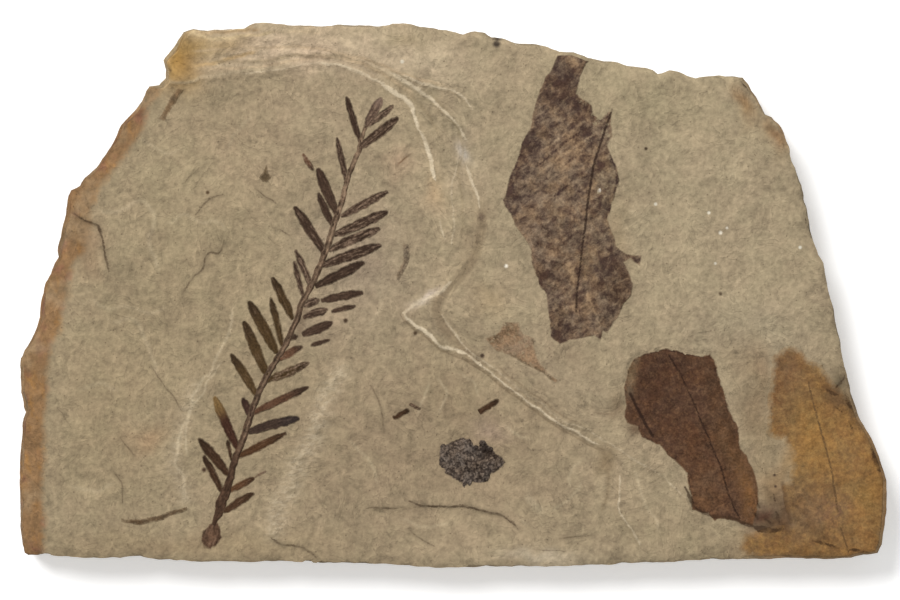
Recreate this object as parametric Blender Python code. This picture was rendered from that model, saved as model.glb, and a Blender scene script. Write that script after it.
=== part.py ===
"""Fossil plant plate: a flat slab of shale with thin carbonised plant remains pressed into its face.

The plate lies on its back, so its face looks along +Z and its shoot climbs along +Y. Sizes are in
millimetres and become metres where a mesh is made.
"""

import math

import bpy
from mathutils import Vector, noise
from mathutils.geometry import delaunay_2d_cdt

MM = 0.001

# Heights of the rock's beds above the back
SHOOT_BED = 12.4
LOWER_STEP = 12.95
MIDDLE_STEP = 13.4
UPPER_BED = 13.95

# Depths of the hollows that are sunk in those beds
HOLLOW_LIP = 0.15
HOLLOW_BOWL = 0.4
HOLLOW_FLOOR = 0.3
RIM_FLAKE = 0.5
SWELL = 0.12

# Broken edge of the plate
STAIN_SIDE = -52.0
STAIN_FADE = 12.0
STAIN_FOOT = -60.5
STAIN_FOOT_FADE = 5.0
STAINED_RIM = 5.5
STAINED_DROP = 2.0
PLAIN_RIM = 1.4
PLAIN_DROP = 0.6
EDGE_BEDS = ((0.86, 0.15), (0.72, 0.8), (0.58, 0.3), (0.42, 0.0), (0.27, 0.8), (0.15, 1.5))
EDGE_JITTER = 0.9
EDGE_GRAIN = 0.17
TOP_INSET = 0.2
WALL_LEAN = 0.9
DROP_JITTER = 0.5
BACK_SHELF = 0.9
BACK_SHELF_INSET = 5.5

# Films of the plant remains
FILM = 0.5
PROUD = 0.12
GAP = 0.3
MIDRIB_RISE = 0.22
MIDRIB_HALF = 0.7
STEM_RISE = 0.3
STEM_HALF = 0.42
LEAFLET_RISE = 0.14

PLATE_WIDTH = 200.0
PLATE_DEPTH = 125.0
SWELL_SPACING = 7.0

SLAB_OUTLINE = [
    (-94.7, 0), (-92.8, 5), (-90.9, 8.8), (-90.7, 11.8), (-89, 19.3), (-88.1, 24.2), (-85.9, 25.2),
    (-81.9, 29.9), (-78.1, 35.8), (-74.9, 41), (-71.6, 44.8), (-69.9, 48.2), (-67.3, 48.4), (-65.9, 49.9),
    (-66.3, 54.1), (-63.1, 58.9), (-61.9, 60.8), (-59.8, 61.4), (-47.6, 61.1), (-43.4, 62.5), (-33.9, 61.7),
    (-25.5, 62), (-9.5, 62), (0, 60.4), (7.4, 59.9), (14.5, 57.8), (22, 57), (24.6, 55.8), (31, 54.6),
    (40, 52.4), (47.3, 50.5), (50, 51.5), (56, 49.9), (61, 50.4), (66.7, 49.9), (69.9, 45.5), (72, 41.5),
    (74.7, 39.6), (77.1, 34.5), (78.7, 28.2), (80.4, 25.3), (82.3, 15.6), (84, 9.3), (85.7, 5.1), (88, -5),
    (90.1, -15.6), (92.2, -24), (93.7, -28.6), (97.5, -35.4), (100, -42.5), (100, -46), (98.9, -57.7),
    (98.1, -59.5), (92, -60.5), (76.8, -60.6), (55, -60.8), (40, -61.8), (25, -62.5), (0, -62.4),
    (-20, -61.6), (-40, -61.3), (-64, -60.9), (-72, -60), (-76.6, -60.6), (-93, -59.8), (-98.5, -59.4),
    (-100, -54.3), (-100, -44.6), (-99.2, -32), (-98.2, -26.9), (-99.6, -18.9), (-98.5, -12.6), (-96.2, -8),
]

# Lips of the beds, each closed well outside the plate
LOWER_STEP_LIP = [
    (-80, 47.6), (-65, 49), (-50, 50.3), (-39.8, 51.7), (-30.1, 53.5), (-24.6, 52.9), (-19.5, 50.5),
    (-15.4, 48.2), (-9.5, 44.4), (-8.6, 41.3), (-5.9, 35.4), (-5.1, 31.1), (-3.4, 26.5), (-3.2, 21),
    (-1.8, 13), (-2, 7), (-4, 2.2), (-6.5, -1.4), (-11.2, -4.2), (-9.5, -6.3), (-4.8, -9.9), (-2.5, -12),
    (3.2, -14.2), (7.4, -16.8), (14.7, -22.6), (22, -27.8), (29.3, -32.2), (35, -35.2), (39.6, -38.4),
    (38.7, -45.5), (38.3, -49.7), (41.3, -53.9), (43.4, -57.7), (44, -80), (130, -80), (130, 90), (-80, 90),
]
MIDDLE_STEP_LIP = [
    (-78, 56), (-62, 55.4), (-45, 55.8), (-30, 55.6), (-19, 52.6), (-9.3, 48.2), (-3.6, 44), (1.5, 38.9),
    (3.6, 36), (4.4, 32.8), (3.4, 29.9), (4.4, 26.5), (6.3, 20.2), (5, 13.2), (3.2, 8), (0.6, 4.4),
    (-3.4, 0.2), (-2.5, -5), (2.3, -10.9), (7.6, -15.4), (14.9, -21.3), (22.7, -26.7), (29.5, -30.7),
    (35, -33.5), (43.4, -38.5), (48, -41.2), (54, -47), (57, -51), (61, -53.2), (69, -54.6),
    (70.3, -57.4), (70, -80), (130, -80), (130, 90), (-78, 90),
]
UPPER_BED_LIP = [
    (-58, 75), (-52, 60), (-40, 59), (-25, 57.4), (-15, 52.8), (-7.4, 49), (-0.2, 47.2), (4.8, 43.6),
    (6.4, 37), (6.4, 29), (8.6, 20.5), (8.1, 12), (5, 5), (0.4, -0.6), (0.2, -3.8), (5, -9.2), (9, -9.4),
    (14.5, -7.4), (19.5, -12.6), (29, -22.6), (32.6, -25.8), (37.2, -26.2), (38.6, -21.6), (39.6, -17),
    (41.7, -14), (44.8, -12.4), (49.3, -11.5), (55.6, -12.7), (60, -12.2), (61.8, -15.3), (64.3, -24),
    (67, -30.2), (67.6, -34.8), (70.6, -39.8), (72, -44.6), (72, -48), (70.8, -53.2), (72.4, -57),
    (73, -80), (130, -80), (130, 90), (-58, 90),
]
HOLLOW_EDGE = [
    (-11.2, -4.2), (-16, -12), (-22, -19), (-29, -27), (-34, -37), (-39, -48), (-41, -53), (-42, -80),
    (60, -80), (60, -4),
]
HOLLOW_FLOOR_EDGE = [
    (-20, -49.6), (-13, -49), (-7, -48.9), (1, -48.8), (5, -49.2), (9, -50.2), (12, -51), (14.5, -53),
    (15.5, -55), (14.5, -58.5), (6, -59.6), (-8, -59), (-17, -56),
]
RIM_FLAKE_EDGE = [
    (-110, 21.5), (-88, 19), (-84.5, 17), (-81.5, 16), (-80.5, 11), (-79.3, 5.5), (-82, 1.5), (-88, -1.5),
    (-110, -3),
]
BACK_FACE_OUTLINE = [
    (-84, -50), (-60, -54), (-41, -51), (-30, -53), (-5, -56), (20, -54), (45, -56), (70, -52), (88, -50),
    (90, -38), (84, -22), (80, -5), (71, 6), (72, 26), (60, 38), (40, 43), (22, 48), (0, 53), (-14, 47),
    (-22, 53), (-40, 55), (-55, 50), (-64, 38), (-74, 24), (-80, 8), (-85, -6), (-83, -24), (-90, -38),
]

# Shoot: centre line with the stem's width at each point, leaflets as base, tip and width
STEM = [
    (-54.8, -54.6, 1.5), (-54.0, -50.6, 1.8), (-53.5, -46.7, 2.6), (-52.2, -42.5, 1.9), (-50.5, -37.9, 1.7),
    (-48.8, -33.7, 1.4), (-47.4, -29.5, 1.5), (-44.2, -22.7, 1.3), (-40.8, -14.2, 1.2), (-37.7, -7.6, 1.2),
    (-35.6, -1.3, 1.1), (-31.8, 2.9, 1.1), (-29.5, 10.5, 1.1), (-26.9, 18.5, 1.1), (-24.6, 24, 1.1),
    (-23.6, 28.2, 1.0), (-21.5, 35.3, 0.9), (-20.6, 38, 0.8),
]
KNOB = (-55.6, -55.8)
KNOB_HALF = (2.3, 2.8)
KNOB_TILT = math.radians(-25)
KNOB_RISE = 0.7
LEAFLETS = [
    ((-53.5, -44.6), (-57.3, -37.3), 1.9), ((-51.8, -41.3), (-58.5, -33.1), 2.5),
    ((-51.2, -38.8), (-51.6, -35.4), 1.0), ((-49.7, -35.0), (-55.0, -23.2), 2.3),
    ((-46.5, -28.6), (-48.4, -23.8), 1.7), ((-45.0, -23.2), (-51.2, -13.7), 1.9),
    ((-43.1, -18.1), (-48.2, -6.3), 2.3), ((-40.8, -13.5), (-47.2, -1.3), 2.5),
    ((-39.8, -11.4), (-41.9, -0.5), 1.6), ((-36.8, -5.0), (-41.3, 4.0), 2.2),
    ((-35.0, -0.8), (-36.4, 7.8), 1.1), ((-32.8, 2.1), (-36.2, 10.7), 1.8),
    ((-29.9, 10.1), (-36.3, 20.4), 2.1), ((-28.0, 15.6), (-31.0, 23.6), 1.7),
    ((-26.8, 19.4), (-30.7, 29.3), 2.3), ((-24.4, 26.1), (-26.6, 36.4), 1.6),
    ((-21.5, 36.2), (-24.4, 45.9), 1.5), ((-53.4, -50.0), (-45.7, -45.7), 1.8),
    ((-52.6, -45.3), (-43.9, -40.8), 1.7), ((-49.6, -37.8), (-38.5, -31.8), 1.7),
    ((-47.6, -32.0), (-35.6, -28.4), 2.3), ((-46.4, -27.8), (-33.1, -20.8), 1.8),
    ((-42.8, -19.7), (-33.1, -15.6), 1.9), ((-40.4, -14.4), (-35.0, -12.0), 2.1),
    ((-32.2, 2.2), (-20.2, 7.4), 2.4), ((-31.0, 6.2), (-16.6, 11.5), 2.4),
    ((-29.5, 10.7), (-16.7, 15.6), 2.2), ((-28.2, 14.4), (-14.9, 19.4), 2.3),
    ((-26.8, 17.8), (-14.9, 23.8), 1.9), ((-21.4, 34.2), (-12.4, 41.3), 2.4),
    ((-20.8, 37.2), (-15.0, 44.8), 2.4),
]
LEAFLET_BITS = [
    ((-33.9, -8.8), (-27.8, -6.3), 2.2), ((-34.3, -5.1), (-28.4, -3.6), 1.6),
    ((-27.4, -3.8), (-22.4, -2.7), 1.5), ((-32.0, -11.4), (-28.2, -10.3), 1.2),
    ((-29.2, -1.2), (-20.6, 0.5), 2.1), ((-34.2, 32.0), (-32.2, 28.9), 1.0),
]
NEEDLE_BITS = [
    ((-13.1, -28.2), (-10.1, -26.5), 1.0), ((-9.3, -25.6), (-7.4, -26.5), 0.9),
    ((6.7, -26.7), (10.7, -24.4), 1.3),
]
LEAFLET_HALF_WIDTHS = ((0.0, 0.45), (0.25, 0.95), (0.68, 0.95), (0.9, 0.58), (1.0, 0.18))

DARK_LEAF = [
    (24.6, 54.4), (29.8, 53.8), (30.5, 52.6), (28.8, 46.3), (32.2, 43.8), (32.8, 41.3), (34.5, 40.4),
    (36.9, 42.4), (36.8, 36.6), (35.8, 34.5), (38.3, 29.1), (38.5, 26.1), (36.6, 19.4), (35.8, 17.3),
    (37.9, 10.9), (40, 9.5), (43.4, 9.1), (43.2, 7.6), (41.3, 8.0), (39.6, 7.4), (41.5, 2.9), (41.3, 0),
    (38.3, -4.6), (36, -8.8), (32.8, -9.3), (29.9, -9.9), (25, -11.6), (22.9, -9.7), (22.3, -5.1),
    (21.7, 0), (19.8, 3.8), (17.7, 11.4), (14.5, 16.4), (11.8, 21.9), (13.7, 28.2), (16, 34.9),
    (18.5, 40.4), (20.2, 47.1), (23.4, 53.1),
]
DARK_LEAF_MIDRIB = [(35.9, 40.6), (33.5, 32.8), (32, 24.8), (30.7, 15.6), (29.5, 5.9), (28.7, -2), (28.4, -8)]
BROWN_LEAF = [
    (40.6, -17.3), (42.3, -14.9), (45, -13.4), (49.3, -12.5), (55.6, -13.7), (59.6, -13.3), (61.9, -19),
    (64.4, -27.4), (65.9, -30.3), (66.5, -35), (69.5, -40), (70.7, -44.6), (70.7, -47.6), (69.5, -53),
    (65.3, -52.2), (60.6, -52), (57.3, -50.1), (55.6, -49.4), (54.3, -41.3), (52.2, -38.7), (48, -34.5),
    (43.8, -32.6), (42.9, -30.3), (40.4, -29.5), (39.6, -27.8), (40.4, -25.3), (39.8, -22.3),
]
BROWN_LEAF_MIDRIB = [(50.1, -13.9), (54.7, -22.3), (58.1, -30.3), (61.9, -39.2), (66.5, -51.2)]
OCHRE_LEAF = [
    (73.9, -14.3), (76.8, -12.2), (80.6, -12.6), (82.3, -14.9), (85.3, -16.4), (88.2, -20), (90.6, -25.6),
    (93.6, -32), (97, -39.4), (98, -43), (98, -46), (96.9, -56.5), (91, -58.4), (76, -58.6), (73.6, -55),
    (77, -53.4), (77.3, -49.7), (76, -44.6), (78.5, -40), (76.8, -33.7), (73.6, -32.6), (72.8, -25.3),
    (73.9, -16.8),
]
OCHRE_LEAF_MIDRIB = [(82.5, -20), (84, -26.9), (86.5, -35.8), (88.2, -44.6), (90.1, -54.7)]
SEED_CLUSTER = [
    (-2.5, -35.2), (0.5, -33.7), (2.5, -33), (5, -34.8), (7.5, -33.8), (10, -36), (12.6, -35.6),
    (12.4, -38.7), (10.5, -40.5), (8.4, -41.9), (6, -43.7), (3, -44.4), (0, -42.2), (-2, -40.2), (-3, -38),
]
SEED_SPACING = 2.0
SEED_SIDES = 5
SEED_RISE = 0.55
LEAF_SCRAP = [
    (8, -11), (9.6, -12.4), (13.6, -11.4), (17.6, -15.6), (23, -20.4), (24, -19.8), (19, -14.2),
    (15.2, -9.2), (12, -10.2),
]
BARK_SLIVER = [(-63.4, 48.2), (-62.2, 47.4), (-66.6, 40.2), (-67.8, 40.8)]
BUD_SCRAP = [(-43.8, 26.2), (-42.6, 26), (-41.6, 27.6), (-42.3, 28.6), (-42.8, 30), (-43.6, 28.6), (-44.6, 27.2)]
STEM_SCRAP = [(-11.4, 12.2), (-10.2, 11.6), (-9.9, 8.8), (-10.8, 6.2), (-12.4, 3.2), (-12.8, 4.2), (-11.6, 7.2)]
ROOTLET = [(-76, -51.6), (-72, -52), (-67, -50.4), (-61, -48.9), (-61, -49.9), (-67, -51.6), (-72, -53.1), (-76, -52.6)]

STONE = (0.38, 0.31, 0.2, 1.0)
LEAFLET_CARBON = (0.075, 0.05, 0.03, 1.0)
DARK_CARBON = (0.085, 0.055, 0.05, 1.0)
BROWN_CARBON = (0.11, 0.06, 0.037, 1.0)
OCHRE_STAIN = (0.33, 0.2, 0.085, 1.0)
BLACK_CARBON = (0.045, 0.036, 0.035, 1.0)
PINK_CARBON = (0.2, 0.13, 0.1, 1.0)


def clear_scene():
    """Removes every object, so that the model starts from an empty file."""
    for item in list(bpy.data.objects):
        bpy.data.objects.remove(item, do_unlink=True)


def smooth(value):
    """Eases from 0 to 1 as the value goes from 0 to 1."""
    value = min(max(value, 0.0), 1.0)
    return value * value * (3.0 - 2.0 * value)


def swell(x, y):
    """Slow waves that every bed of the rock shares."""
    return SWELL * (math.sin(x / 19.0 + 1.0) * math.cos(y / 15.0) + 0.5 * math.sin((x + 2.0 * y) / 11.0))


def shoot_bed(x, y):
    """The flaked bed at the left that holds the shoot."""
    return SHOOT_BED + swell(x, y)


def rim_flake(x, y):
    """A flake missing at the left rim, deepest at its upper lip."""
    return shoot_bed(x, y) - 0.06 - RIM_FLAKE * smooth((y - 1.0) / 15.0)


def hollow(x, y):
    """The shallow bowl that holds the seed cluster."""
    bowl = math.exp(-((x - 8.0) / 28.0) ** 2 - ((y + 36.0) / 17.0) ** 2)
    return shoot_bed(x, y) - HOLLOW_LIP - HOLLOW_BOWL * bowl


def hollow_floor(x, y):
    """The bed below the curved crack in the bowl, which rises back towards the plate's bottom edge."""
    return hollow(x, y) - 0.06 - HOLLOW_FLOOR * smooth((y + 58.0) / 8.0)


def lower_step(x, y):
    """The first step up from the shoot's bed. It fades where its lip dies out."""
    fade = math.exp(-((x + 3.0) / 8.0) ** 2 - ((y - 13.0) / 9.0) ** 2)
    return LOWER_STEP + swell(x, y) - 0.38 * fade


def middle_step(x, y):
    """The second step, which also holds the brown leaf."""
    return MIDDLE_STEP + swell(x, y)


def upper_bed(x, y):
    """The highest bed, which sinks towards the lower right."""
    sink = smooth((x - 58.0) / 12.0) * smooth((-6.0 - y) / 14.0)
    return UPPER_BED + swell(x, y) - 0.4 * sink


BEDS = (
    (shoot_bed, SLAB_OUTLINE),
    (hollow, HOLLOW_EDGE),
    (hollow_floor, HOLLOW_FLOOR_EDGE),
    (rim_flake, RIM_FLAKE_EDGE),
    (lower_step, LOWER_STEP_LIP),
    (middle_step, MIDDLE_STEP_LIP),
    (upper_bed, UPPER_BED_LIP),
)


def counterclockwise(outline):
    """Gives the outline with its inside on the left."""
    area = 0.0
    for (x1, y1), (x2, y2) in zip(outline, outline[1:] + outline[:1]):
        area += x1 * y2 - x2 * y1
    return list(outline) if area > 0 else list(reversed(outline))


def moved_in(point, inset):
    """Moves a point of the plate's edge towards the plate's middle."""
    radius = math.hypot(*point)
    return (point[0] * (radius - inset) / radius, point[1] * (radius - inset) / radius)


def grown(outline, distance):
    """Widens a closed outline by a distance on every side."""
    outline = counterclockwise(outline)
    result = []
    for before, here, after in zip(outline[-1:] + outline[:-1], outline, outline[1:] + outline[:1]):
        first = Vector((here[0] - before[0], here[1] - before[1])).normalized()
        second = Vector((after[0] - here[0], after[1] - here[1])).normalized()
        normal = Vector((first.y + second.y, -first.x - second.x)).normalized()
        reach = distance / max(normal.dot(Vector((first.y, -first.x))), 0.5)
        result.append((here[0] + normal.x * reach, here[1] + normal.y * reach))
    return result


def beside(line, distance):
    """A line that runs beside another at a distance to its left."""
    result = []
    for index, here in enumerate(line):
        before = line[max(index - 1, 0)]
        after = line[min(index + 1, len(line) - 1)]
        along = Vector((after[0] - before[0], after[1] - before[1])).normalized()
        result.append((here[0] - along.y * distance, here[1] + along.x * distance))
    return result


def leaflet(base, tip, width, grow=0.0):
    """Outline of one leaflet: broad along its middle, blunt at its base and rounded at its tip."""
    start = Vector(base)
    along = (Vector(tip) - start).normalized()
    length = (Vector(tip) - start).length
    side = Vector((-along.y, along.x))
    right = []
    left = []
    for part, share in LEAFLET_HALF_WIDTHS:
        place = start + along * (part * (length + 2.0 * grow) - grow)
        half = share * width / 2.0 + grow
        right.append(tuple(place - side * half))
        left.append(tuple(place + side * half))
    return right + left[::-1]


def stem(grow=0.0):
    """Outline of the stem, from the knob's neck to its thin top."""
    line = [(x, y) for x, y, width in STEM]
    right = []
    left = []
    for index, (x, y, width) in enumerate(STEM):
        half = width / 2.0 + grow
        right.append(beside(line, -half)[index])
        left.append(beside(line, half)[index])
    return right + left[::-1]


def knob(scale=1.0, grow=0.0):
    """Oval outline of the swollen foot of the shoot."""
    result = []
    for step in range(14):
        turn = math.tau * step / 14
        x = (KNOB_HALF[0] * scale + grow) * math.cos(turn)
        y = (KNOB_HALF[1] * scale + grow) * math.sin(turn)
        result.append((
            KNOB[0] + x * math.cos(KNOB_TILT) - y * math.sin(KNOB_TILT),
            KNOB[1] + x * math.sin(KNOB_TILT) + y * math.cos(KNOB_TILT),
        ))
    return result


def inside(point, outline):
    """Tells whether a point lies inside a closed outline."""
    hit = False
    for (x1, y1), (x2, y2) in zip(outline, outline[1:] + outline[:1]):
        if (y1 > point[1]) != (y2 > point[1]):
            if point[0] < x1 + (point[1] - y1) * (x2 - x1) / (y2 - y1):
                hit = not hit
    return hit


def distance_to(point, line):
    """Distance from a point to an open line."""
    best = math.inf
    here = Vector(point)
    for start, end in zip(line, line[1:]):
        first = Vector(start)
        run = Vector(end) - first
        share = min(max((here - first).dot(run) / run.length_squared, 0.0), 1.0)
        best = min(best, (here - first - run * share).length)
    return best


def triangulate(regions, lines=(), points=()):
    """Cuts overlapping regions into triangles. Gives points, triangles and the regions over each one."""
    coords = []
    edges = []
    faces = []
    for region in regions:
        first = len(coords)
        coords += [Vector(point) for point in counterclockwise(region)]
        faces.append(list(range(first, len(coords))))
    for line in lines:
        first = len(coords)
        coords += [Vector(point) for point in line]
        edges += [(index, index + 1) for index in range(first, len(coords) - 1)]
    coords += [Vector(point) for point in points]
    places, _, triangles, sources, _, covers = delaunay_2d_cdt(coords, edges, faces, 0, 1e-3)
    return places, [tuple(triangle) for triangle in triangles], [set(cover) for cover in covers], sources


def side_edges(triangles):
    """Edges that only one of the triangles has, in that triangle's direction."""
    directed = set()
    for a, b, c in triangles:
        directed.update([(a, b), (b, c), (c, a)])
    return [(a, b) for a, b in directed if (b, a) not in directed]


def add_object(name, vertices, faces, color, roughness):
    """Makes one named object of a closed mesh, with its own material."""
    mesh = bpy.data.meshes.new(name)
    mesh.from_pydata([(x * MM, y * MM, z * MM) for x, y, z in vertices], [], faces)
    mesh.validate()
    mesh.update()
    item = bpy.data.objects.new(name, mesh)
    bpy.context.scene.collection.objects.link(item)
    material = bpy.data.materials.new(name + "_material")
    material.use_nodes = True
    shader = material.node_tree.nodes["Principled BSDF"]
    shader.inputs["Base Color"].default_value = color
    shader.inputs["Roughness"].default_value = roughness
    shader.inputs["Metallic"].default_value = 0.0
    mesh.materials.append(material)
    return item


def film(name, regions, bed, color, crests=(), domes=(), feet=(), roughness=0.6):
    """A thin film that follows its bed and stands a little proud of it.

    It is raised along its crests, given as a line, a rise and a half width, and at its domes, given as a
    middle, a rise and a radius. The feet are the lines and rings of points where those rises end.
    """
    lines = [line for line, rise, half in crests] + [foot for foot in feet if len(foot) > 1]
    points = [foot[0] for foot in feet if len(foot) == 1] + [middle for middle, rise, radius in domes]
    places, triangles, covers, _ = triangulate(regions, lines, points)
    triangles = [triangle for triangle, cover in zip(triangles, covers) if cover & set(range(len(regions)))]
    used = sorted({index for triangle in triangles for index in triangle})
    order = {index: number for number, index in enumerate(used)}
    top = []
    bottom = []
    for index in used:
        x, y = places[index]
        height = bed(x, y) + PROUD
        rise = 0.0
        for line, crest, half in crests:
            rise = max(rise, crest * (1.0 - distance_to((x, y), line) / half))
        for middle, dome, radius in domes:
            rise = max(rise, dome * (1.0 - (math.dist((x, y), middle) / radius) ** 2))
        top.append((x, y, height + rise))
        bottom.append((x, y, height - FILM))
    count = len(used)
    faces = []
    for a, b, c in triangles:
        faces.append((order[a], order[b], order[c]))
        faces.append((count + order[c], count + order[b], count + order[a]))
    for a, b in side_edges(triangles):
        faces.append((order[b], order[a], count + order[a], count + order[b]))
    return add_object(name, top + bottom, faces, color, roughness)


def leaf(name, outline, midrib, bed, color, rise=MIDRIB_RISE):
    """A broad leaf with its midrib."""
    feet = [beside(midrib, MIDRIB_HALF), beside(midrib, -MIDRIB_HALF)]
    film(name, [outline], bed, color, [(midrib, rise, MIDRIB_HALF)], (), feet)


def leaflet_crest(base, tip, width):
    """Low crest along the middle of a leaflet, ending short of its ends."""
    start = Vector(base)
    run = Vector(tip) - start
    return ([tuple(start + run * 0.12), tuple(start + run * 0.85)], LEAFLET_RISE, width * 0.4)


def seeds():
    """Places of the seeds in the cluster, in offset rows, those that fit wholly in its outline."""
    result = []
    edge = SEED_CLUSTER + SEED_CLUSTER[:1]
    for row in range(9):
        for column in range(12):
            x = -4.0 + SEED_SPACING * (column + 0.5 * (row % 2)) + 0.25 * math.sin(5.0 * row + column)
            y = -45.0 + SEED_SPACING * 0.87 * row + 0.25 * math.cos(3.0 * column + row)
            if inside((x, y), SEED_CLUSTER) and distance_to((x, y), edge) > 0.7:
                result.append((x, y))
    return result


def pockets():
    """The pocket under each remain: its outlines, a gap wider all round, with the bed it is sunk in."""
    result = [(stem(GAP), shoot_bed), (knob(grow=GAP), shoot_bed)]
    for base, tip, width in LEAFLETS + LEAFLET_BITS:
        result.append((leaflet(base, tip, width, GAP), shoot_bed))
    for base, tip, width in NEEDLE_BITS:
        result.append((leaflet(base, tip, width, GAP), hollow))
    result += [
        (grown(DARK_LEAF, GAP), upper_bed),
        (grown(BROWN_LEAF, GAP), middle_step),
        (grown(OCHRE_LEAF, GAP), upper_bed),
        (grown(SEED_CLUSTER, GAP), hollow),
        (grown(LEAF_SCRAP, GAP), middle_step),
        (grown(BARK_SLIVER, GAP), shoot_bed),
        (grown(BUD_SCRAP, GAP), shoot_bed),
        (grown(STEM_SCRAP, GAP), shoot_bed),
        (grown(ROOTLET, GAP), shoot_bed),
    ]
    return result


def left_share(point):
    """How far a point of the edge belongs to the stained left side: 1 there, 0 elsewhere."""
    side = smooth((STAIN_SIDE - point[0]) / STAIN_FADE)
    return side * smooth((point[1] - STAIN_FOOT) / STAIN_FOOT_FADE)


def slab_edge(point, level):
    """Inset of the broken edge at one of its beds, rougher away from the widest bed."""
    share, inset = EDGE_BEDS[level]
    if inset == 0.0:
        return 0.0
    rough = noise.noise(Vector((point[0] * EDGE_GRAIN, point[1] * EDGE_GRAIN, 3.7 * level)))
    lean = WALL_LEAN * left_share(point) if share > 0.5 else 0.0
    return max(inset + lean + EDGE_JITTER * rough, 0.05)


def slab_face():
    """Triangles of the plate's face and the bed or pocket that each belongs to."""
    sunk = pockets()
    top_outline = [moved_in(point, TOP_INSET + WALL_LEAN * left_share(point)) for point in SLAB_OUTLINE]
    rim = []
    for point in SLAB_OUTLINE:
        share = left_share(point)
        rim.append(moved_in(point, PLAIN_RIM + (STAINED_RIM - PLAIN_RIM) * share))
    regions = [top_outline] + [outline for bed, outline in BEDS[1:]] + [outline for outline, bed in sunk]
    spread = []
    for column in range(int(PLATE_WIDTH / SWELL_SPACING)):
        for row in range(int(PLATE_DEPTH / SWELL_SPACING)):
            spread.append((
                SWELL_SPACING * (column + 0.5 * (row % 2)) - PLATE_WIDTH / 2.0,
                SWELL_SPACING * (row + 0.5) - PLATE_DEPTH / 2.0,
            ))
    spread = [point for point in spread if inside(point, rim)]
    places, triangles, covers, _ = triangulate(regions, [rim + rim[:1]], spread)
    kept = []
    owners = []
    for triangle, cover in zip(triangles, covers):
        if 0 not in cover:
            continue
        sunk_in = [index - len(BEDS) for index in cover if index >= len(BEDS)]
        if sunk_in:
            owners.append((sunk[sunk_in[0]][1], True))
        else:
            owners.append((BEDS[max(cover)][0], False))
        kept.append(triangle)
    return places, kept, owners


def slab():
    """The plate of rock: stepped face with its pockets, broken bedded edge, and shelved back."""
    places, triangles, owners = slab_face()
    edge = dict(side_edges(triangles))
    vertices = []
    found = {}
    faces = []

    def face_vertex(index, owner):
        key = (index, owner)
        if key not in found:
            x, y = places[index]
            bed, sunk = owner
            height = bed(x, y)
            if sunk:
                height += PROUD - FILM - GAP
            if index in edge:
                share = left_share((x, y))
                height -= PLAIN_DROP + (STAINED_DROP - PLAIN_DROP) * share
                height -= DROP_JITTER * abs(noise.noise(Vector((x * EDGE_GRAIN, y * EDGE_GRAIN, 9.0))))
            found[key] = len(vertices)
            vertices.append((x, y, height))
        return found[key]

    owner_of = {}
    columns = {}
    for (a, b, c), owner in zip(triangles, owners):
        faces.append(tuple(face_vertex(index, owner) for index in (a, b, c)))
        for pair in ((a, b), (b, c), (c, a)):
            owner_of[pair] = owner
            columns.setdefault(pair[0], set()).add(face_vertex(pair[0], owner))

    def down(index, start, end):
        """Vertices over one place, from one bed to another, with those of any bed between them."""
        first = face_vertex(index, start)
        last = face_vertex(index, end)
        low, high = sorted((vertices[first][2], vertices[last][2]))
        between = [number for number in columns[index] if low < vertices[number][2] < high]
        between.sort(key=lambda number: abs(vertices[number][2] - vertices[first][2]))
        return [first] + between + [last]

    for (a, b), owner in owner_of.items():
        other = owner_of.get((b, a))
        if other is not None and other != owner and (b, a) > (a, b):
            faces.append(tuple(down(a, owner, other) + down(b, other, owner)))

    loop = [min(edge)]
    while edge[loop[-1]] != loop[0]:
        loop.append(edge[loop[-1]])
    rings = []
    for level, (share, inset) in enumerate(EDGE_BEDS):
        ring = {}
        for number, index in enumerate(loop):
            owner = owner_of[(index, edge[index])]
            before = owner_of[(loop[number - 1], index)]
            low = min(vertices[face_vertex(index, owner)][2], vertices[face_vertex(index, before)][2])
            point = tuple(places[index])
            rim_point = moved_in(point, -TOP_INSET - WALL_LEAN * left_share(point))
            x, y = moved_in(rim_point, slab_edge(rim_point, level))
            ring[index] = len(vertices)
            vertices.append((x, y, low * share))
        rings.append(ring)
    for number, index in enumerate(loop):
        following = edge[index]
        owner = owner_of[(index, following)]
        before = owner_of[(loop[number - 1], index)]
        faces.append((
            face_vertex(following, owner), face_vertex(index, owner), rings[0][index], rings[0][following],
        ))
        if before != owner:
            faces.append(tuple([rings[0][index]] + down(index, owner, before)))
        for upper, lower in zip(rings, rings[1:]):
            faces.append((upper[following], upper[index], lower[index], lower[following]))

    foot = [rings[-1][index] for index in loop]
    foot_outline = [vertices[number][:2] for number in foot]
    shelf = [moved_in(point, BACK_SHELF_INSET + 1.5 * math.sin(point[0] * 0.31) + math.cos(point[1] * 0.45))
             for point in SLAB_OUTLINE]
    spots, pieces, covers, sources = triangulate([foot_outline, shelf, BACK_FACE_OUTLINE])
    back = {}
    back_level = {}

    def back_vertex(index, level):
        if level == 0 and sources[index] and min(sources[index]) < len(foot):
            return foot[min(sources[index])]
        key = (index, level)
        if key not in back:
            back[key] = len(vertices)
            low = min(vertices[number][2] for number in foot)
            vertices.append((spots[index][0], spots[index][1], (low, BACK_SHELF, 0.0)[level]))
        return back[key]

    for (a, b, c), cover in zip(pieces, covers):
        if 0 not in cover:
            continue
        level = max(cover)
        faces.append(tuple(back_vertex(index, level) for index in (c, b, a)))
        for pair in ((a, b), (b, c), (c, a)):
            back_level[pair] = level
    for (a, b), level in back_level.items():
        other = back_level.get((b, a))
        if other is not None and other > level:
            faces.append((
                back_vertex(a, level), back_vertex(b, level), back_vertex(b, other), back_vertex(a, other),
            ))
    return add_object("shale_slab", vertices, faces, STONE, 0.85)


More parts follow.
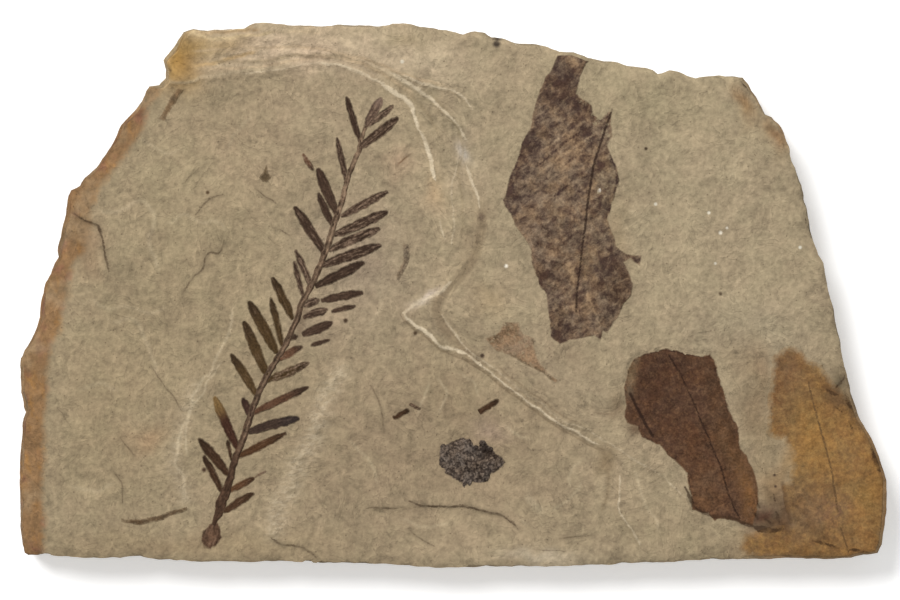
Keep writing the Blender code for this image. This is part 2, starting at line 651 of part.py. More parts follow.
def conifer_shoot():
    """The shoot: stem, leaflets and knob grown together in one film."""
    crests = [([(x, y) for x, y, width in STEM[1:]], STEM_RISE, STEM_HALF)]
    crests += [leaflet_crest(*one) for one in LEAFLETS]
    domes = [(KNOB, KNOB_RISE, min(KNOB_HALF))]
    regions = [stem(), knob()] + [leaflet(*one) for one in LEAFLETS]
    film("conifer_shoot", regions, shoot_bed, LEAFLET_CARBON, crests, domes, [knob(0.55)])


def loose_bits():
    """Leaflets and needles that lie loose on the plate."""
    for number, one in enumerate(LEAFLET_BITS, 1):
        film(f"leaflet_bit_{number}", [leaflet(*one)], shoot_bed, LEAFLET_CARBON, [leaflet_crest(*one)])
    for number, one in enumerate(NEEDLE_BITS, 1):
        film(f"needle_bit_{number}", [leaflet(*one)], hollow, BLACK_CARBON, [leaflet_crest(*one)])


def broad_leaves():
    """The three broad leaves, each with its midrib."""
    leaf("dark_leaf", DARK_LEAF, DARK_LEAF_MIDRIB, upper_bed, DARK_CARBON)
    leaf("brown_leaf", BROWN_LEAF, BROWN_LEAF_MIDRIB, middle_step, BROWN_CARBON)
    leaf("ochre_leaf", OCHRE_LEAF, OCHRE_LEAF_MIDRIB, upper_bed, OCHRE_STAIN, MIDRIB_RISE / 2.0)


def small_remains():
    """The seed cluster and the scraps."""
    domes = [(middle, SEED_RISE, SEED_SPACING / 2.0) for middle in seeds()]
    feet = []
    edge = SEED_CLUSTER + SEED_CLUSTER[:1]
    for (x, y), rise, radius in domes:
        for step in range(SEED_SIDES):
            turn = math.tau * step / SEED_SIDES
            point = (x + radius * math.cos(turn), y + radius * math.sin(turn))
            if inside(point, SEED_CLUSTER) and distance_to(point, edge) > 0.3:
                feet.append([point])
    film("seed_cluster", [SEED_CLUSTER], hollow, BLACK_CARBON, (), domes, feet, 0.5)
    film("leaf_scrap", [LEAF_SCRAP], middle_step, PINK_CARBON)
    film("bark_sliver", [BARK_SLIVER], shoot_bed, BROWN_CARBON)
    film("bud_scrap", [BUD_SCRAP], shoot_bed, BLACK_CARBON)
    film("stem_scrap", [STEM_SCRAP], shoot_bed, BLACK_CARBON)
    film("rootlet", [ROOTLET], shoot_bed, LEAFLET_CARBON)


def main():
    """Builds the plate and everything pressed into it."""
    clear_scene()
    slab()
    conifer_shoot()
    loose_bits()
    broad_leaves()
    small_remains()


main()
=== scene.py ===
"""Finishes a fossil plant plate: its rock, the thin plant films pressed into it, and a plain stage.

Sizes are in millimetres on the plate, x along its long bottom edge and y towards the shoot's tip. They
become metres where a mesh is made. Heights are above the plane that the plate's back rests on.
"""

import math
from functools import partial, reduce

import bpy
import numpy as np
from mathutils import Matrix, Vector, kdtree
from mathutils.geometry import delaunay_2d_cdt


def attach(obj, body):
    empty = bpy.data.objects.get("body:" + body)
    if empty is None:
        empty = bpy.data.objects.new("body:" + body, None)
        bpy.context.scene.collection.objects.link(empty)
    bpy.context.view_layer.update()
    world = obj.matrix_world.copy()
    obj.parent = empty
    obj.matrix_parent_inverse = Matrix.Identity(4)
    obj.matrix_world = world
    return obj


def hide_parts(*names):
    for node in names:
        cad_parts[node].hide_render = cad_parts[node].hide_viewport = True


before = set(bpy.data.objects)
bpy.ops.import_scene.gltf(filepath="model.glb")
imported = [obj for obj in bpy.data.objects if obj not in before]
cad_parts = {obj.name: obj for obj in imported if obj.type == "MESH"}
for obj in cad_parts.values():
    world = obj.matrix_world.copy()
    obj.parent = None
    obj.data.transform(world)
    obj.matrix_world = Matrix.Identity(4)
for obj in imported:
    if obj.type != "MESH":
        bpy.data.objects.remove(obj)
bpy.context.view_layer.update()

bl_info = {
    "name": "Fossil plant plate",
    "version": (1, 0, 0),
    "blender": (4, 5, 0),
    "location": "3D view > Sidebar > Fossil plate",
    "description": "Rock, plant films and studio stage of a fossil plant plate",
    "category": "Add Mesh",
}

MM = 0.001
STONE_GLOSS = 0.15
FILM_GLOSS = 0.05

# Heights of the rock's beds, and depths of what is sunk in them
SHOOT_BED = 12.4
LOWER_STEP = 12.95
MIDDLE_STEP = 13.4
UPPER_BED = 13.95
HOLLOW_LIP = 0.15
HOLLOW_BOWL = 0.4
HOLLOW_FLOOR = 0.3
RIM_FLAKE = 0.5
SWELL = 0.12
CRACK_REACH = 4.0
CRACK_RUN = 1.4
BAND_RISE = 0.15

# Broken edge of the plate
STAIN_SIDE = -52.0
STAIN_FADE = 12.0
STAIN_FOOT = -60.5
STAIN_FOOT_FADE = 5.0
STAINED_FALL = 2.1
PLAIN_RIM = 1.3
PLAIN_FALL = 0.6
TOP_INSET = 0.2
WALL_LEAN = 0.9
WALL_ROWS = 34
WALL_FOOT = 0.13
WALL_BULGE = 1.1
WALL_INSETS = ((0.13, 1.5), (0.27, 0.6), (0.42, 0.0), (0.58, 0.3), (0.72, 0.6), (0.86, 0.25), (1.0, 0.2))
LAMINA = 0.85
BACK_SHELF = 0.9
BACK_SHELF_INSET = 5.5

# Mesh steps, and the height of an offset row in a step
ROW_HEIGHT = 0.866
GRID_STEP = 0.8
LINE_STEP = 0.55
EDGE_STEP = 0.8
BACK_STEP = 1.8
FILM_STEP = 0.45

# Films of the plant remains
FILM_RISE = 0.07
FILM_SKIRT = 0.5
FILM_SINK = 0.12
FILM_THICKNESS = 0.25
RAGGED = 0.22

# Half size of the box that lines are drawn finely in
NEAR_PLATE = (104, 66)

# Stage: the key light, and the point of the plate's face that the camera looks at, in metres
KEY_PLACE = (-0.44, 0.52, 0.86)
KEY_ANGLE = math.radians(26)
CAMERA_AIM = (-0.00046, -0.00115, 0.0137)
SENSOR = 36.0
FLOOR = (0.97, 0.97, 0.965, 1.0)
WHITE = (1.0, 1.0, 1.0, 1.0)

SLAB_OUTLINE = [
    (-94.7, 0), (-94.3, 2.9), (-92.8, 5), (-91.8, 7.4), (-90.9, 8.8), (-90.7, 11.8), (-90, 15), (-89, 19.3),
    (-88.6, 22.9), (-88.1, 24.2), (-85.9, 25.2), (-84.8, 26.9), (-81.9, 29.9), (-80, 32.8), (-78.1, 35.8),
    (-76.2, 39.2), (-74.9, 41), (-73, 42.7), (-71.6, 44.8), (-70.7, 47.2), (-69.9, 48.2), (-67.3, 48.4),
    (-65.9, 49.9), (-65.9, 51.8), (-66.5, 54.1), (-65.5, 55.4), (-64.2, 57), (-63.1, 58.9), (-61.9, 60.8),
    (-59.8, 61.4), (-56.4, 61), (-47.6, 61.1), (-45, 62.4), (-43.4, 62.5), (-40, 62.2), (-33.9, 61.7),
    (-25.5, 62), (-16.6, 61.6), (-13.7, 62), (-9.5, 62), (-7.4, 61.5), (-3.6, 61), (0, 60.4), (2.7, 59.9),
    (5.1, 60.1), (7.4, 59.9), (9.1, 59), (12, 58.7), (14.5, 57.8), (20, 57.3), (22, 57), (24.6, 55.8),
    (28, 55.8), (31, 54.6), (35, 53.6), (38, 53.2), (40, 52.4), (44, 52), (46, 51.5), (47.3, 50.5),
    (50, 51.5), (52, 51.3), (54, 50.4), (56, 49.9), (61, 50.4), (65, 50), (66.7, 49.9), (68, 48.4),
    (69.9, 45.5), (70.7, 43.8), (72, 41.5), (73.5, 40.9), (74.7, 39.6), (76.2, 37.1), (77.1, 34.5),
    (77.9, 30.7), (78.7, 28.2), (80.4, 25.3), (80.8, 21.9), (81.7, 19.8), (82.3, 15.6), (83.2, 12.6),
    (84, 9.3), (85.3, 7.2), (85.7, 5.1), (86.5, 1.7), (86.9, 0), (88, -5), (89, -10.1), (90.1, -15.6),
    (90.9, -19.8), (92.2, -24), (93.7, -28.6), (96, -32.4), (97.5, -35.4), (99.2, -40), (100, -42.5),
    (100, -45.5), (99.8, -50.1), (99.5, -54.3), (98.9, -57.7), (98.1, -59.5), (94.9, -59.9), (92, -60.5),
    (85.3, -60.8), (76.8, -60.6), (60, -60.7), (50, -61.2), (40, -61.8), (25, -62.4), (0, -62.4),
    (-10, -62), (-20, -61.6), (-40, -61.3), (-49.3, -61.3), (-64, -60.9), (-69.5, -60.6), (-72, -60),
    (-76.6, -60.6), (-85, -60.6), (-93, -59.8), (-97.7, -59.9), (-98.5, -59.4), (-99.4, -57.7),
    (-100, -54.3), (-100, -44.6), (-99.7, -40.4), (-99.5, -36.2), (-99.2, -32), (-98.9, -28.6),
    (-98.2, -26.9), (-98.7, -24.8), (-99.4, -22.3), (-99.6, -18.9), (-99.4, -14.7), (-98.5, -12.6),
    (-97, -10.3), (-96.2, -8), (-95, -5),
]

# Lips of the beds, each closed well outside the plate
LOWER_STEP_LIP = [
    (-80, 47.6), (-65, 49), (-50, 50.3), (-44, 50.9), (-39.8, 51.7), (-35.6, 52.9), (-30.1, 53.5),
    (-24.6, 52.9), (-21.7, 51.8), (-19.5, 50.5), (-17.1, 49.5), (-15.4, 48.2), (-12.8, 46.5), (-9.5, 44.4),
    (-8.6, 41.3), (-7.4, 37.9), (-5.9, 35.4), (-5.1, 31.1), (-4.4, 28.2), (-3.4, 26.5), (-3.2, 21),
    (-1.8, 13), (-2, 7), (-4, 2.2), (-6.5, -1.4), (-11.2, -4.2), (-9.5, -6.3), (-6.9, -8), (-4.8, -9.9),
    (-2.5, -12), (0.6, -13.1), (3.2, -14.2), (7.4, -16.8), (14.7, -22.6), (22, -27.8), (29.3, -32.2),
    (35, -35.2), (39.6, -38.4), (38.9, -41.7), (38.7, -45.5), (38.3, -49.7), (41.3, -53.9), (43.4, -57.7),
    (44, -80), (130, -80), (130, 90), (-80, 90),
]
MIDDLE_STEP_LIP = [
    (-78, 56), (-62, 55.4), (-45, 55.8), (-30, 55.6), (-19, 52.6), (-9.3, 48.2), (-6.1, 46.1), (-3.6, 44),
    (-1.1, 41), (1.5, 38.9), (3.6, 36), (4.4, 32.8), (3.4, 29.9), (4.4, 26.5), (5.7, 23.6), (6.3, 20.2),
    (5, 13.2), (3.2, 8), (0.6, 4.4), (-3.4, 0.2), (-2.5, -5), (0.2, -8), (2.3, -10.9), (4.8, -13.3),
    (7.6, -15.4), (10.3, -17.2), (14.9, -21.3), (19.8, -24.2), (22.7, -26.7), (26.1, -29.3), (29.5, -30.7),
    (32, -31.1), (35, -33.5), (40, -36.5), (43.4, -38.5), (48, -41.2), (54, -47), (57, -51), (61, -53.2),
    (69, -54.6), (70.3, -57.4), (70, -80), (130, -80), (130, 90), (-78, 90),
]
UPPER_BED_LIP = [
    (-58, 75), (-52, 60), (-40, 59), (-25, 57.4), (-15, 52.8), (-7.4, 49), (-3.6, 48.1), (-0.2, 47.2),
    (2.7, 45.7), (4.8, 43.6), (6.4, 37), (6.4, 29), (8.6, 20.5), (8.1, 12), (5, 5), (0.4, -0.6),
    (0.2, -3.8), (5, -9.2), (9, -9.4), (14.5, -7.4), (19.5, -12.6), (29, -22.6), (32.6, -25.8),
    (37.2, -26.2), (38.6, -21.6), (39.6, -17), (41.7, -14), (44.8, -12.4), (49.3, -11.5), (55.6, -12.7),
    (60, -12.2), (61.8, -15.3), (64.3, -24), (67, -30.2), (67.6, -34.8), (70.6, -39.8), (72, -44.6),
    (72, -48), (70.8, -53.2), (72.4, -57), (73, -80), (130, -80), (130, 90), (-58, 90),
]
HOLLOW_EDGE = [
    (-11.2, -4.2), (-16, -12), (-22, -19), (-29, -27), (-34, -37), (-39, -48), (-41, -53), (-42, -80),
    (60, -80), (60, -4),
]
HOLLOW_FLOOR_EDGE = [
    (-20, -49.6), (-13, -49), (-7, -48.9), (1, -48.8), (5, -49.2), (9, -50.2), (12, -51), (14.5, -53),
    (15.5, -55), (14.5, -58.5), (6, -59.6), (-8, -59), (-17, -56),
]
RIM_FLAKE_EDGE = [
    (-110, 21.5), (-88, 19), (-84.5, 17), (-81.5, 16), (-80.5, 11), (-79.3, 5.5), (-82, 1.5), (-88, -1.5),
    (-110, -3),
]
STAINED_RIM = [
    (-66, 50), (-68.6, 45.5), (-70.7, 41.7), (-71.3, 38.3), (-73, 35.4), (-74.9, 32.4), (-77, 29.9),
    (-78.7, 27.4), (-81.2, 25.2), (-82.5, 22.7), (-83.8, 19.3), (-83.8, 13.5), (-84.2, 9.7), (-87.2, 7.6),
    (-88, 5), (-88.4, 0), (-90, -4), (-90.3, -8.4), (-92.2, -10), (-92.8, -14), (-93.5, -20), (-93.5, -25),
    (-94.1, -29.5), (-94.1, -38), (-94.3, -46), (-94.2, -55), (-93.9, -70), (-120, -70), (-120, 70),
    (-70, 70),
]
BACK_FACE_OUTLINE = [
    (-84, -50), (-60, -54), (-41, -51), (-30, -53), (-5, -56), (20, -54), (45, -56), (70, -52), (88, -50),
    (90, -38), (84, -22), (80, -5), (71, 6), (72, 26), (60, 38), (40, 43), (22, 48), (0, 53), (-14, 47),
    (-22, 53), (-40, 55), (-55, 50), (-64, 38), (-74, 24), (-80, 8), (-85, -6), (-83, -24), (-90, -38),
]

# Small ledges that show as dark lines: depth, then the line
CRACKS = [
    (0.22, RIM_FLAKE_EDGE[1:6]),
    (0.12, [(-62.5, 0), (-60.5, 3.5), (-57.5, 6), (-57.3, 8.5), (-56, 10), (-53.5, 9.5), (-52.5, 12.5)]),
    (0.12, [(-59, 18.5), (-57.5, 21), (-55, 23), (-53, 23.5)]),
    (0.1, [(-45.5, 24.5), (-43, 22.5), (-40.5, 21)]), (0.06, [(-41.5, 15.8), (-37.5, 13.8)]),
    (0.05, [(-62, 26), (-58.5, 29.5)]), (0.05, [(-85, 23), (-84, 20)]),
    (0.05, [(-69.5, -16.5), (-62.5, -26.5)]), (0.08, [(-91, -26), (-88, -30.5)]),
    (0.06, [(-76.5, -33), (-73.5, -37)]), (0.06, [(-78.5, -40), (-76, -44), (-76, -48)]),
    (0.16, [(-42, -56), (-40, -57.5), (-35, -58.2), (-33, -59.5), (-31, -61.3)]),
    (0.2, [(-10, -47.5), (-7, -48.9), (-3, -49), *HOLLOW_FLOOR_EDGE[3:8], (15.5, -54.5)]),
    (0.08, [(-20, -49.3), (-13, -49.2)]), (0.08, [(-10, -54), (-7.5, -56.5), (-4, -58)]),
    (0.06, [(25, -56.5), (33, -55.5)]), (0.06, [(20, -58.8), (26, -59.3)]),
    (0.05, [(-19, -21), (-16.5, -25), (-15.5, -32)]),
]

# Pale broken lips: half width, strength, then the line
PALE_LIPS = [
    (0.16, 0.4, [(-48.5, 51), (-39.2, 52.2), (-34.4, 53.3), (-30.7, 53.6)]),
    (0.3, 0.75, [(-30.7, 53.6), (-25, 53.1), (-20.3, 50.8), (-17.1, 49.5), (-15.7, 48.9)]),
    (0.4, 1, [(-16.5, 49), *LOWER_STEP_LIP[11:16]]), (0.36, 1, [(-7.8, 39), *LOWER_STEP_LIP[16:20]]),
    (0.34, 0.8, [(-14.2, 51.3), (-9, 48.5), (-4.8, 45.1), (0, 40.9), (2.2, 37.6), (3.6, 35.4)]),
    (0.3, 0.75, [(3.4, 30), *MIDDLE_STEP_LIP[13:16]]),
    (0.24, 0.6, [(-10.9, 50.8), (-6.2, 48.6), (0.9, 47), (3.7, 44.6), (4.7, 42.7)]),
    (0.2, 0.5, [(-3, 17), (-1.7, 13)]), (0.16, 0.4, [(1.4, 31), (-0.4, 24), (0.8, 17), (0, 12)]),
    (0.4, 0.55, [(0, 3), (-3, 0.5), (-6, -1), (-9, -2.5), (-11.2, -4.2)]), (0.42, 1, LOWER_STEP_LIP[25:30]),
    (0.56, 1, [(-3.4, -11.2), (-2.5, -12), (0.6, -12.6), (3.6, -13.5)]),
    (0.2, 0.85, [(3.6, -13.5), *LOWER_STEP_LIP[32:36], (34, -34.6)]),
    (0.16, 0.55, [*MIDDLE_STEP_LIP[20:23], (4.8, -13.5), (7.6, -15.6), (10.3, -17.3)]),
    (0.12, 0.3, [(10.3, -17.3), (14.9, -21.5), (19.8, -24.4), (22.7, -26.9), (26.1, -29.5), (32, -31.2)]),
    (0.14, 0.4, [(32, -31.6), (35, -33.7), (40, -36.6), (43.4, -38.7), (48, -41.3), (54, -47)]),
    (0.2, 0.6, LOWER_STEP_LIP[38:43]),
]

# Soft pale strips where a thin flake has gone: half width, strength, then the line
PALE_STRIPS = [
    (0.45, 0.85, [(-50.8, -3.2), (-51.5, -8.1), (-53.6, -12.9), (-55.3, -17.5), (-58.1, -20.2),
        (-59.8, -24), (-60.5, -27.5), (-62.6, -30.9), (-63.6, -35.8), (-64, -39.3), (-61.9, -42),
        (-61.9, -46.9)]),
    (0.3, 0.9, [(-53, -15.4), (-56.5, -19.8), (-57.6, -23.2), (-60.6, -27.2), (-61.4, -31), (-61.6, -37)]),
    (0.6, 0.5, [(-82, 19.6), (-77, 19), (-74, 21.4), (-71, 21.8), (-69.5, 20), (-69, 16), (-70, 12.5),
        (-68, 6)]),
    (0.5, 0.4, [(-66, 16), (-62, 19), (-58, 16.4), (-55, 17.2), (-51.6, 14.6)]),
    (0.6, 0.4, [(-78.6, -6.2), (-74, -5.4), (-71.5, -7.6), (-70.5, -12), (-68, -18)]),
    (0.5, 0.35, [(-84, -1), (-80, -3.6), (-75, -2.4), (-70, -4.4), (-66, -3)]),
    (0.6, 0.35, [(-86, -22), (-81, -20), (-77, -22.6)]), (0.6, 0.35, [(-88, -44), (-82, -46), (-78, -43)]),
    (0.5, 0.35, [(-46, 42), (-50, 38), (-52, 33)]), (0.5, 0.35, [(-20, -8), (-16, -3), (-17, 2)]),
    (0.4, 0.5, [(-5, -20), (-6.4, -23.8), (-8, -28)]),
    (0.4, 0.45, [(-3.2, -19), (-1, -22.4), (-3.6, -27.6)]),
    (0.35, 0.4, [(2, -17.6), (5, -20.2), (6.4, -24)]), (0.45, 0.4, [(-24, -34), (-19, -38), (-17, -44)]),
    (0.45, 0.45, [(12, -30), (15.4, -32.6), (18.2, -33)]),
    (0.4, 0.45, [(30, -38), (27.4, -41), (26.4, -45)]),
    (0.45, 0.45, [(23, -49.7), (27.6, -46.4), (31, -42)]),
    (1, 0.6, [(17.6, -45.6), (19.4, -49), (21.6, -49.6)]), (0.45, 0.5, [(15.6, -51.4), (17.6, -53.4)]),
    (0.45, 0.4, [(-12, -52), (-6, -53.6), (0, -52.6)]),
    (0.4, 0.5, [(42.4, -39.8), (42.8, -44), (45, -49.4), (48, -54.6)]),
    (0.5, 0.35, [(40, 20), (46, 17), (51, 19)]), (0.5, 0.35, [(46, -6), (52, -8.6), (58, -7.4)]),
    (0.5, 0.35, [(62, 36), (66, 31), (65, 26)]),
    (0.45, 0.5, [(-66, 49), (-58, 49.9), (-48, 51.6), (-38, 53)]),
    (0.4, 0.4, [(-16, 21), (-12, 15), (-13, 9)]), (0.5, 0.35, [(-72, 36), (-66, 32), (-63, 34)]),
]

# Broad swells with pale dashes: half width, strength, then the line
PALE_BANDS = [
    (1.7, 0.5, [(-59, -21), (-60, -25), (-62, -29), (-63.4, -34), (-65, -38), (-63, -42), (-61.8, -47)]),
    (2.2, 0.8, [(-26.6, -17.8), (-30, -26.8), (-32.8, -34.4), (-35.6, -40), (-38.3, -45.5), (-40.4, -49.7),
        (-41.1, -55.2)]),
]
# Dark plant debris, and painted shadow under overhanging edges, that lie over rock and leaves alike: half
# width, then the line
DEBRIS_AND_EDGE_SHADOWS = [
    # Painted shadow: the lines under the brown leaf's lower lip and along the plate's broken edges; the
    # short marks are plant debris
    (0.3, [(53.9, -44.6), (54.8, -47.2), (56.4, -49.3), (59.8, -50.9), (63, -51.4), (67.4, -52.5),
        (70.9, -53.8)]),
    (0.6, [(69.4, -53.2), (72, -54.2), (75, -54.5), (76.6, -53.9)]), (0.5, [(70.4, -47.4), (71, -49)]),
    (0.4, [(69.4, -49.6), (70.6, -51.6)]), (0.45, [(72.4, -51.6), (73.8, -52.8)]),
    (0.5, [(75, -50.2), (75.8, -52.6)]), (0.35, [(83.2, -56.6), (86, -57.4), (89.6, -58.6)]),
    (0.2, [(89.6, -58.6), (93, -59), (96, -59.4)]), (0.4, [(90.8, -17.6), (90.2, -19.6), (88.9, -21.2)]),
    (0.35, [(86.4, -21.6), (88, -23), (89.8, -23.4)]), (0.5, [(90.6, -22.6), (91.8, -25.6), (92.6, -27.4)]),
    (0.3, [(84.6, -20.4), (85.4, -22.6)]), (0.3, [(88.6, -25.8), (90, -27)]),
    (0.25, [(91.4, -29.4), (92.4, -30.8)]), (0.4, [(96.4, -34.8), (97.3, -37.4), (98.6, -40.4)]),
    (0.2, [(72.4, -41), (72.6, -41.6)]), (0.2, [(74.2, -46), (74.6, -47.6)]),
    (0.2, [(72.6, -44.6), (72.8, -45.2)]), (0.35, [(-66.3, 54), (-65.9, 52.4), (-65.7, 51), (-65.9, 49.8)]),
    (0.3, [(67, 49.2), (68.1, 47.6), (68.7, 46.4)]), (0.25, [(81.3, 18.9), (81.6, 17.4), (81.9, 15.8)]),
]

# Shoot: centre line with the stem's width, then leaflets as base, tip, width, tone and wear
STEM = [
    (-55.2, -54.2, 1.3), (-54.8, -52.2, 1), (-54.1, -50.8, 1.7), (-53.4, -48.3, 2.3), (-52.6, -46.2, 2.1),
    (-51.8, -44.1, 1.8), (-50.8, -40.4, 1.6), (-49.7, -36.7, 1.4), (-48.1, -32.6, 1.3), (-46.9, -29.3, 1.3),
    (-46.1, -26.1, 1.3), (-44.6, -22.4, 1.3), (-42.3, -17.6, 1.3), (-39.8, -14, 1.2), (-37.3, -9.1, 1.2),
    (-35.9, -5.8, 1.2), (-35.1, -2.5, 1.2), (-33.4, 0.4, 1.2), (-32, 3.3, 1.2), (-30.3, 7.4, 1.2),
    (-28.7, 11.5, 1.2), (-27.1, 17.1, 1.2), (-25.9, 20, 1.1), (-25, 23.3, 1.1), (-24.2, 26.6, 1.1),
    (-23, 29.9, 1), (-21.5, 33.2, 0.9), (-21.1, 35.6, 0.8), (-20.3, 37.8, 0.7), (-19.6, 39.4, 0.5),
]
KNOB = (-55.5, -55.6)
KNOB_HALF = (2.15, 3.5)
KNOB_TILT = math.radians(-18)
KNOB_RISE = 0.35
LEAFLETS = [
    ((-53.3, -45.2), (-57.4, -37.2), 1.8, "brown", 0.1), ((-51.6, -41.6), (-58.6, -33.1), 2.4, "brown", 0),
    ((-51, -38), (-51.9, -33.5), 1.1, "brown", 0.1), ((-49.6, -35.3), (-55, -23.4), 2.5, "plum", 0),
    ((-46.6, -27.8), (-48.4, -23.8), 1.9, "dusk", 0), ((-45.2, -23.1), (-51.2, -13.5), 2.2, "olive", 0),
    ((-42.9, -18.2), (-48.2, -6), 2.6, "olive", 0), ((-40.7, -13), (-47, -1.3), 2.8, "olive", 0),
    ((-39.3, -11.6), (-41.9, -0.6), 1.8, "olive", 0.1), ((-36.9, -5.2), (-41.5, 4.1), 2.3, "olive", 0.1),
    ((-34.2, -0.6), (-36.5, 7.8), 1.4, "black", 0.4), ((-32.5, 1.7), (-36.2, 10.4), 1.7, "black", 0.6),
    ((-29.4, 9.6), (-36.4, 20.5), 2.4, "black", 0.2), ((-27.6, 16.2), (-31, 23.7), 1.9, "black", 0.1),
    ((-26.7, 19), (-31.1, 29.4), 2.7, "black", 0.05), ((-24.4, 26), (-26.6, 36.5), 1.6, "black", 0.4),
    ((-21.3, 35.6), (-24.4, 46), 1.7, "black", 0.1), ((-52.6, -50), (-45.7, -45.7), 2, "brown", 0.1),
    ((-52, -45.4), (-45.6, -42.2), 1.7, "rust", 0.1), ((-45.8, -42.3), (-43, -40.7), 0.6, "rust", 0.95),
    ((-49.6, -37.5), (-38.3, -31.9), 2, "rust", 0), ((-47.2, -31.6), (-35.2, -28.4), 2.5, "blue", 0),
    ((-46, -27.3), (-33, -21.2), 1.9, "red", 0), ((-42.6, -19.7), (-33, -15.6), 2.2, "olive", 0.5),
    ((-39.9, -14.7), (-34.5, -11.8), 2.1, "red", 0.2), ((-31.2, 2.2), (-20.1, 7.7), 2.6, "black", 0.1),
    ((-29.8, 7), (-16.2, 11.6), 2.7, "black", 0.35), ((-28.2, 10.5), (-16.6, 15.5), 2.4, "black", 0.55),
    ((-27, 14), (-14.8, 19.4), 2.7, "black", 0.5), ((-25.2, 18.3), (-14.8, 23.9), 2.2, "black", 0.6),
    ((-21.2, 34.3), (-12.3, 41.1), 2.5, "black", 0.45), ((-19.7, 39.3), (-16.2, 45.8), 2.5, "faded", 0.5),
    ((-19.9, 38.9), (-13.4, 43.8), 1.8, "black", 0.7), ((-37.8, -10), (-35.6, -9.4), 1.4, "black", 0.1),
    ((-34, -2.4), (-30.6, -1), 2, "black", 0.7), ((-45.9, -27), (-46.4, -25.2), 1, "dusk", 0.1),
]
LEAFLET_BITS = [
    ((-34.2, -9), (-27.5, -6.3), 2.5, "black", 0.1), ((-34, -5), (-28.6, -3.2), 2.1, "black", 0.35),
    ((-27.6, -3.8), (-22.2, -2.5), 1.6, "black", 0), ((-32.4, -11.6), (-28.2, -10.2), 1.2, "black", 0.1),
    ((-29.8, -1.2), (-20.5, 0.6), 2.2, "black", 0.05), ((-34.4, 32.4), (-32, 28.7), 1.3, "red", 0.35),
]
NEEDLE_BITS = [
    ((-13.2, -28.3), (-10, -26.4), 1.3, "brown", 0), ((-9.5, -25.3), (-7.2, -26.4), 0.8, "brown", 0.6),
    ((6.6, -26.8), (10.8, -24.3), 1.6, "brown", 0),
]
# How wide a leaflet is at each share of its length
LEAFLET_HALF_WIDTHS = (
    (0, 0.5), (0.1, 0.7), (0.25, 0.86), (0.5, 0.94), (0.78, 0.88), (0.92, 0.66), (1, 0.42),
)
NEEDLE_HALF_WIDTHS = ((0, 0.9), (1, 0.9))

DARK_LEAF = [
    (24.6, 55.6), (28.6, 55.8), (31.6, 54.3), (30.5, 52.6), (29.5, 50.1), (28.8, 46.3), (29.9, 45.5),
    (32.2, 43.8), (32.8, 41.3), (34.5, 40.4), (37.1, 42.9), (36.6, 40.4), (36.8, 36.6), (35.8, 34.5),
    (36.8, 32.6), (38.3, 29.1), (38.5, 26.1), (37.3, 22.7), (36.6, 19.4), (35.8, 17.3), (37.1, 13.9),
    (37.9, 10.9), (40, 9.3), (43.6, 9.1), (43.4, 6.7), (41.3, 8.4), (39.6, 7.6), (40.8, 5.1), (41.5, 2.9),
    (41.3, 0), (39.6, -2.1), (38.3, -4.6), (37, -6.9), (36, -8.8), (34.9, -8.4), (34.1, -10.5),
    (32.8, -9.3), (29.9, -9.9), (26.9, -10.5), (25, -11.6), (22.9, -9.7), (22.3, -5.1), (21.7, 0),
    (20.2, 1.7), (19.8, 3.8), (18.9, 6.3), (18.5, 8.8), (17.7, 11.4), (16, 14), (14.5, 16.4), (13.7, 18.5),
    (12.2, 20.2), (11.8, 21.9), (12.6, 24), (13.7, 28.2), (15, 31.1), (16, 34.9), (17.3, 37.1),
    (18.5, 40.4), (19.2, 43.4), (20.2, 47.1), (21.5, 50.1), (23.4, 53.1),
]
# Ribs and dark lines of the broad leaves: how much thinner each is, then the line
DARK_LEAF_RIBS = [
    (0, [(37.1, 42.7), (35.2, 37.9), (33.5, 32.8), (32.8, 30.3), (32, 24.8), (31.4, 21.5), (30.7, 15.6)]),
    (0.04, [(30.7, 15.6), (30.1, 10.9), (29.5, 5.9), (28.8, 0.8), (28.7, -4)]),
    (0.24, [(32.8, 39.5), (26, 35.2), (18.9, 29)]), (0.24, [(27.9, 26.7), (23, 22.2)]),
    (0.25, [(31.8, 24.5), (28, 21.4)]), (0.25, [(37.4, 30.2), (38.3, 26.6), (37.3, 23)]),
]
BROWN_LEAF = [
    (40.6, -17.3), (42.3, -14.7), (45, -13.3), (49.3, -12.5), (52.2, -13), (55.6, -13.7), (58.1, -14.1),
    (59.6, -13.3), (60.6, -15.6), (61.9, -19), (63.2, -24), (64.4, -27.4), (65.9, -30.3), (66.5, -35),
    (68.2, -37.5), (69.5, -40), (70.7, -44.6), (70.7, -47.6), (69.5, -53), (65.3, -52.2), (61.5, -51.6),
    (60.6, -52.2), (59.4, -50.3), (57.3, -50.1), (55.6, -49.7), (55.4, -47.6), (54.9, -45.5), (54.3, -41.3),
    (52.2, -38.7), (49.7, -36.6), (48, -34.5), (45.5, -33.5), (43.8, -32.6), (42.9, -30.3), (40.4, -29.5),
    (39.6, -27.8), (40.4, -25.3), (39.8, -22.3),
]
BROWN_LEAF_RIBS = [
    (0, [(50.1, -13.9), (52.6, -17.7), (54.7, -22.3), (56.4, -26.1), (58.1, -30.3), (60.2, -35.4),
        (61.9, -39.2), (63.2, -43.8), (64.8, -48.4), (66.5, -51.6)]),
    (-0.12, [(41.2, -22.8), (43, -26.4), (44.4, -29.4), (46.4, -32.6)]),
    (0.06, [(42, -15.2), (43, -14.3), (45, -13.5), (49.3, -12.7), (52.2, -13.2), (55.6, -13.9),
        (58.1, -14.2)]),
    (0.04, [(44, -32.6), (46.4, -33.9), (49.2, -36.2)]),
    (0.06, [(54.7, -42), (55.1, -46), (56, -49), (57.8, -50.2)]),
    (0.12, [(40.3, -24.4), (40, -22), (40.9, -17.4)]),
]
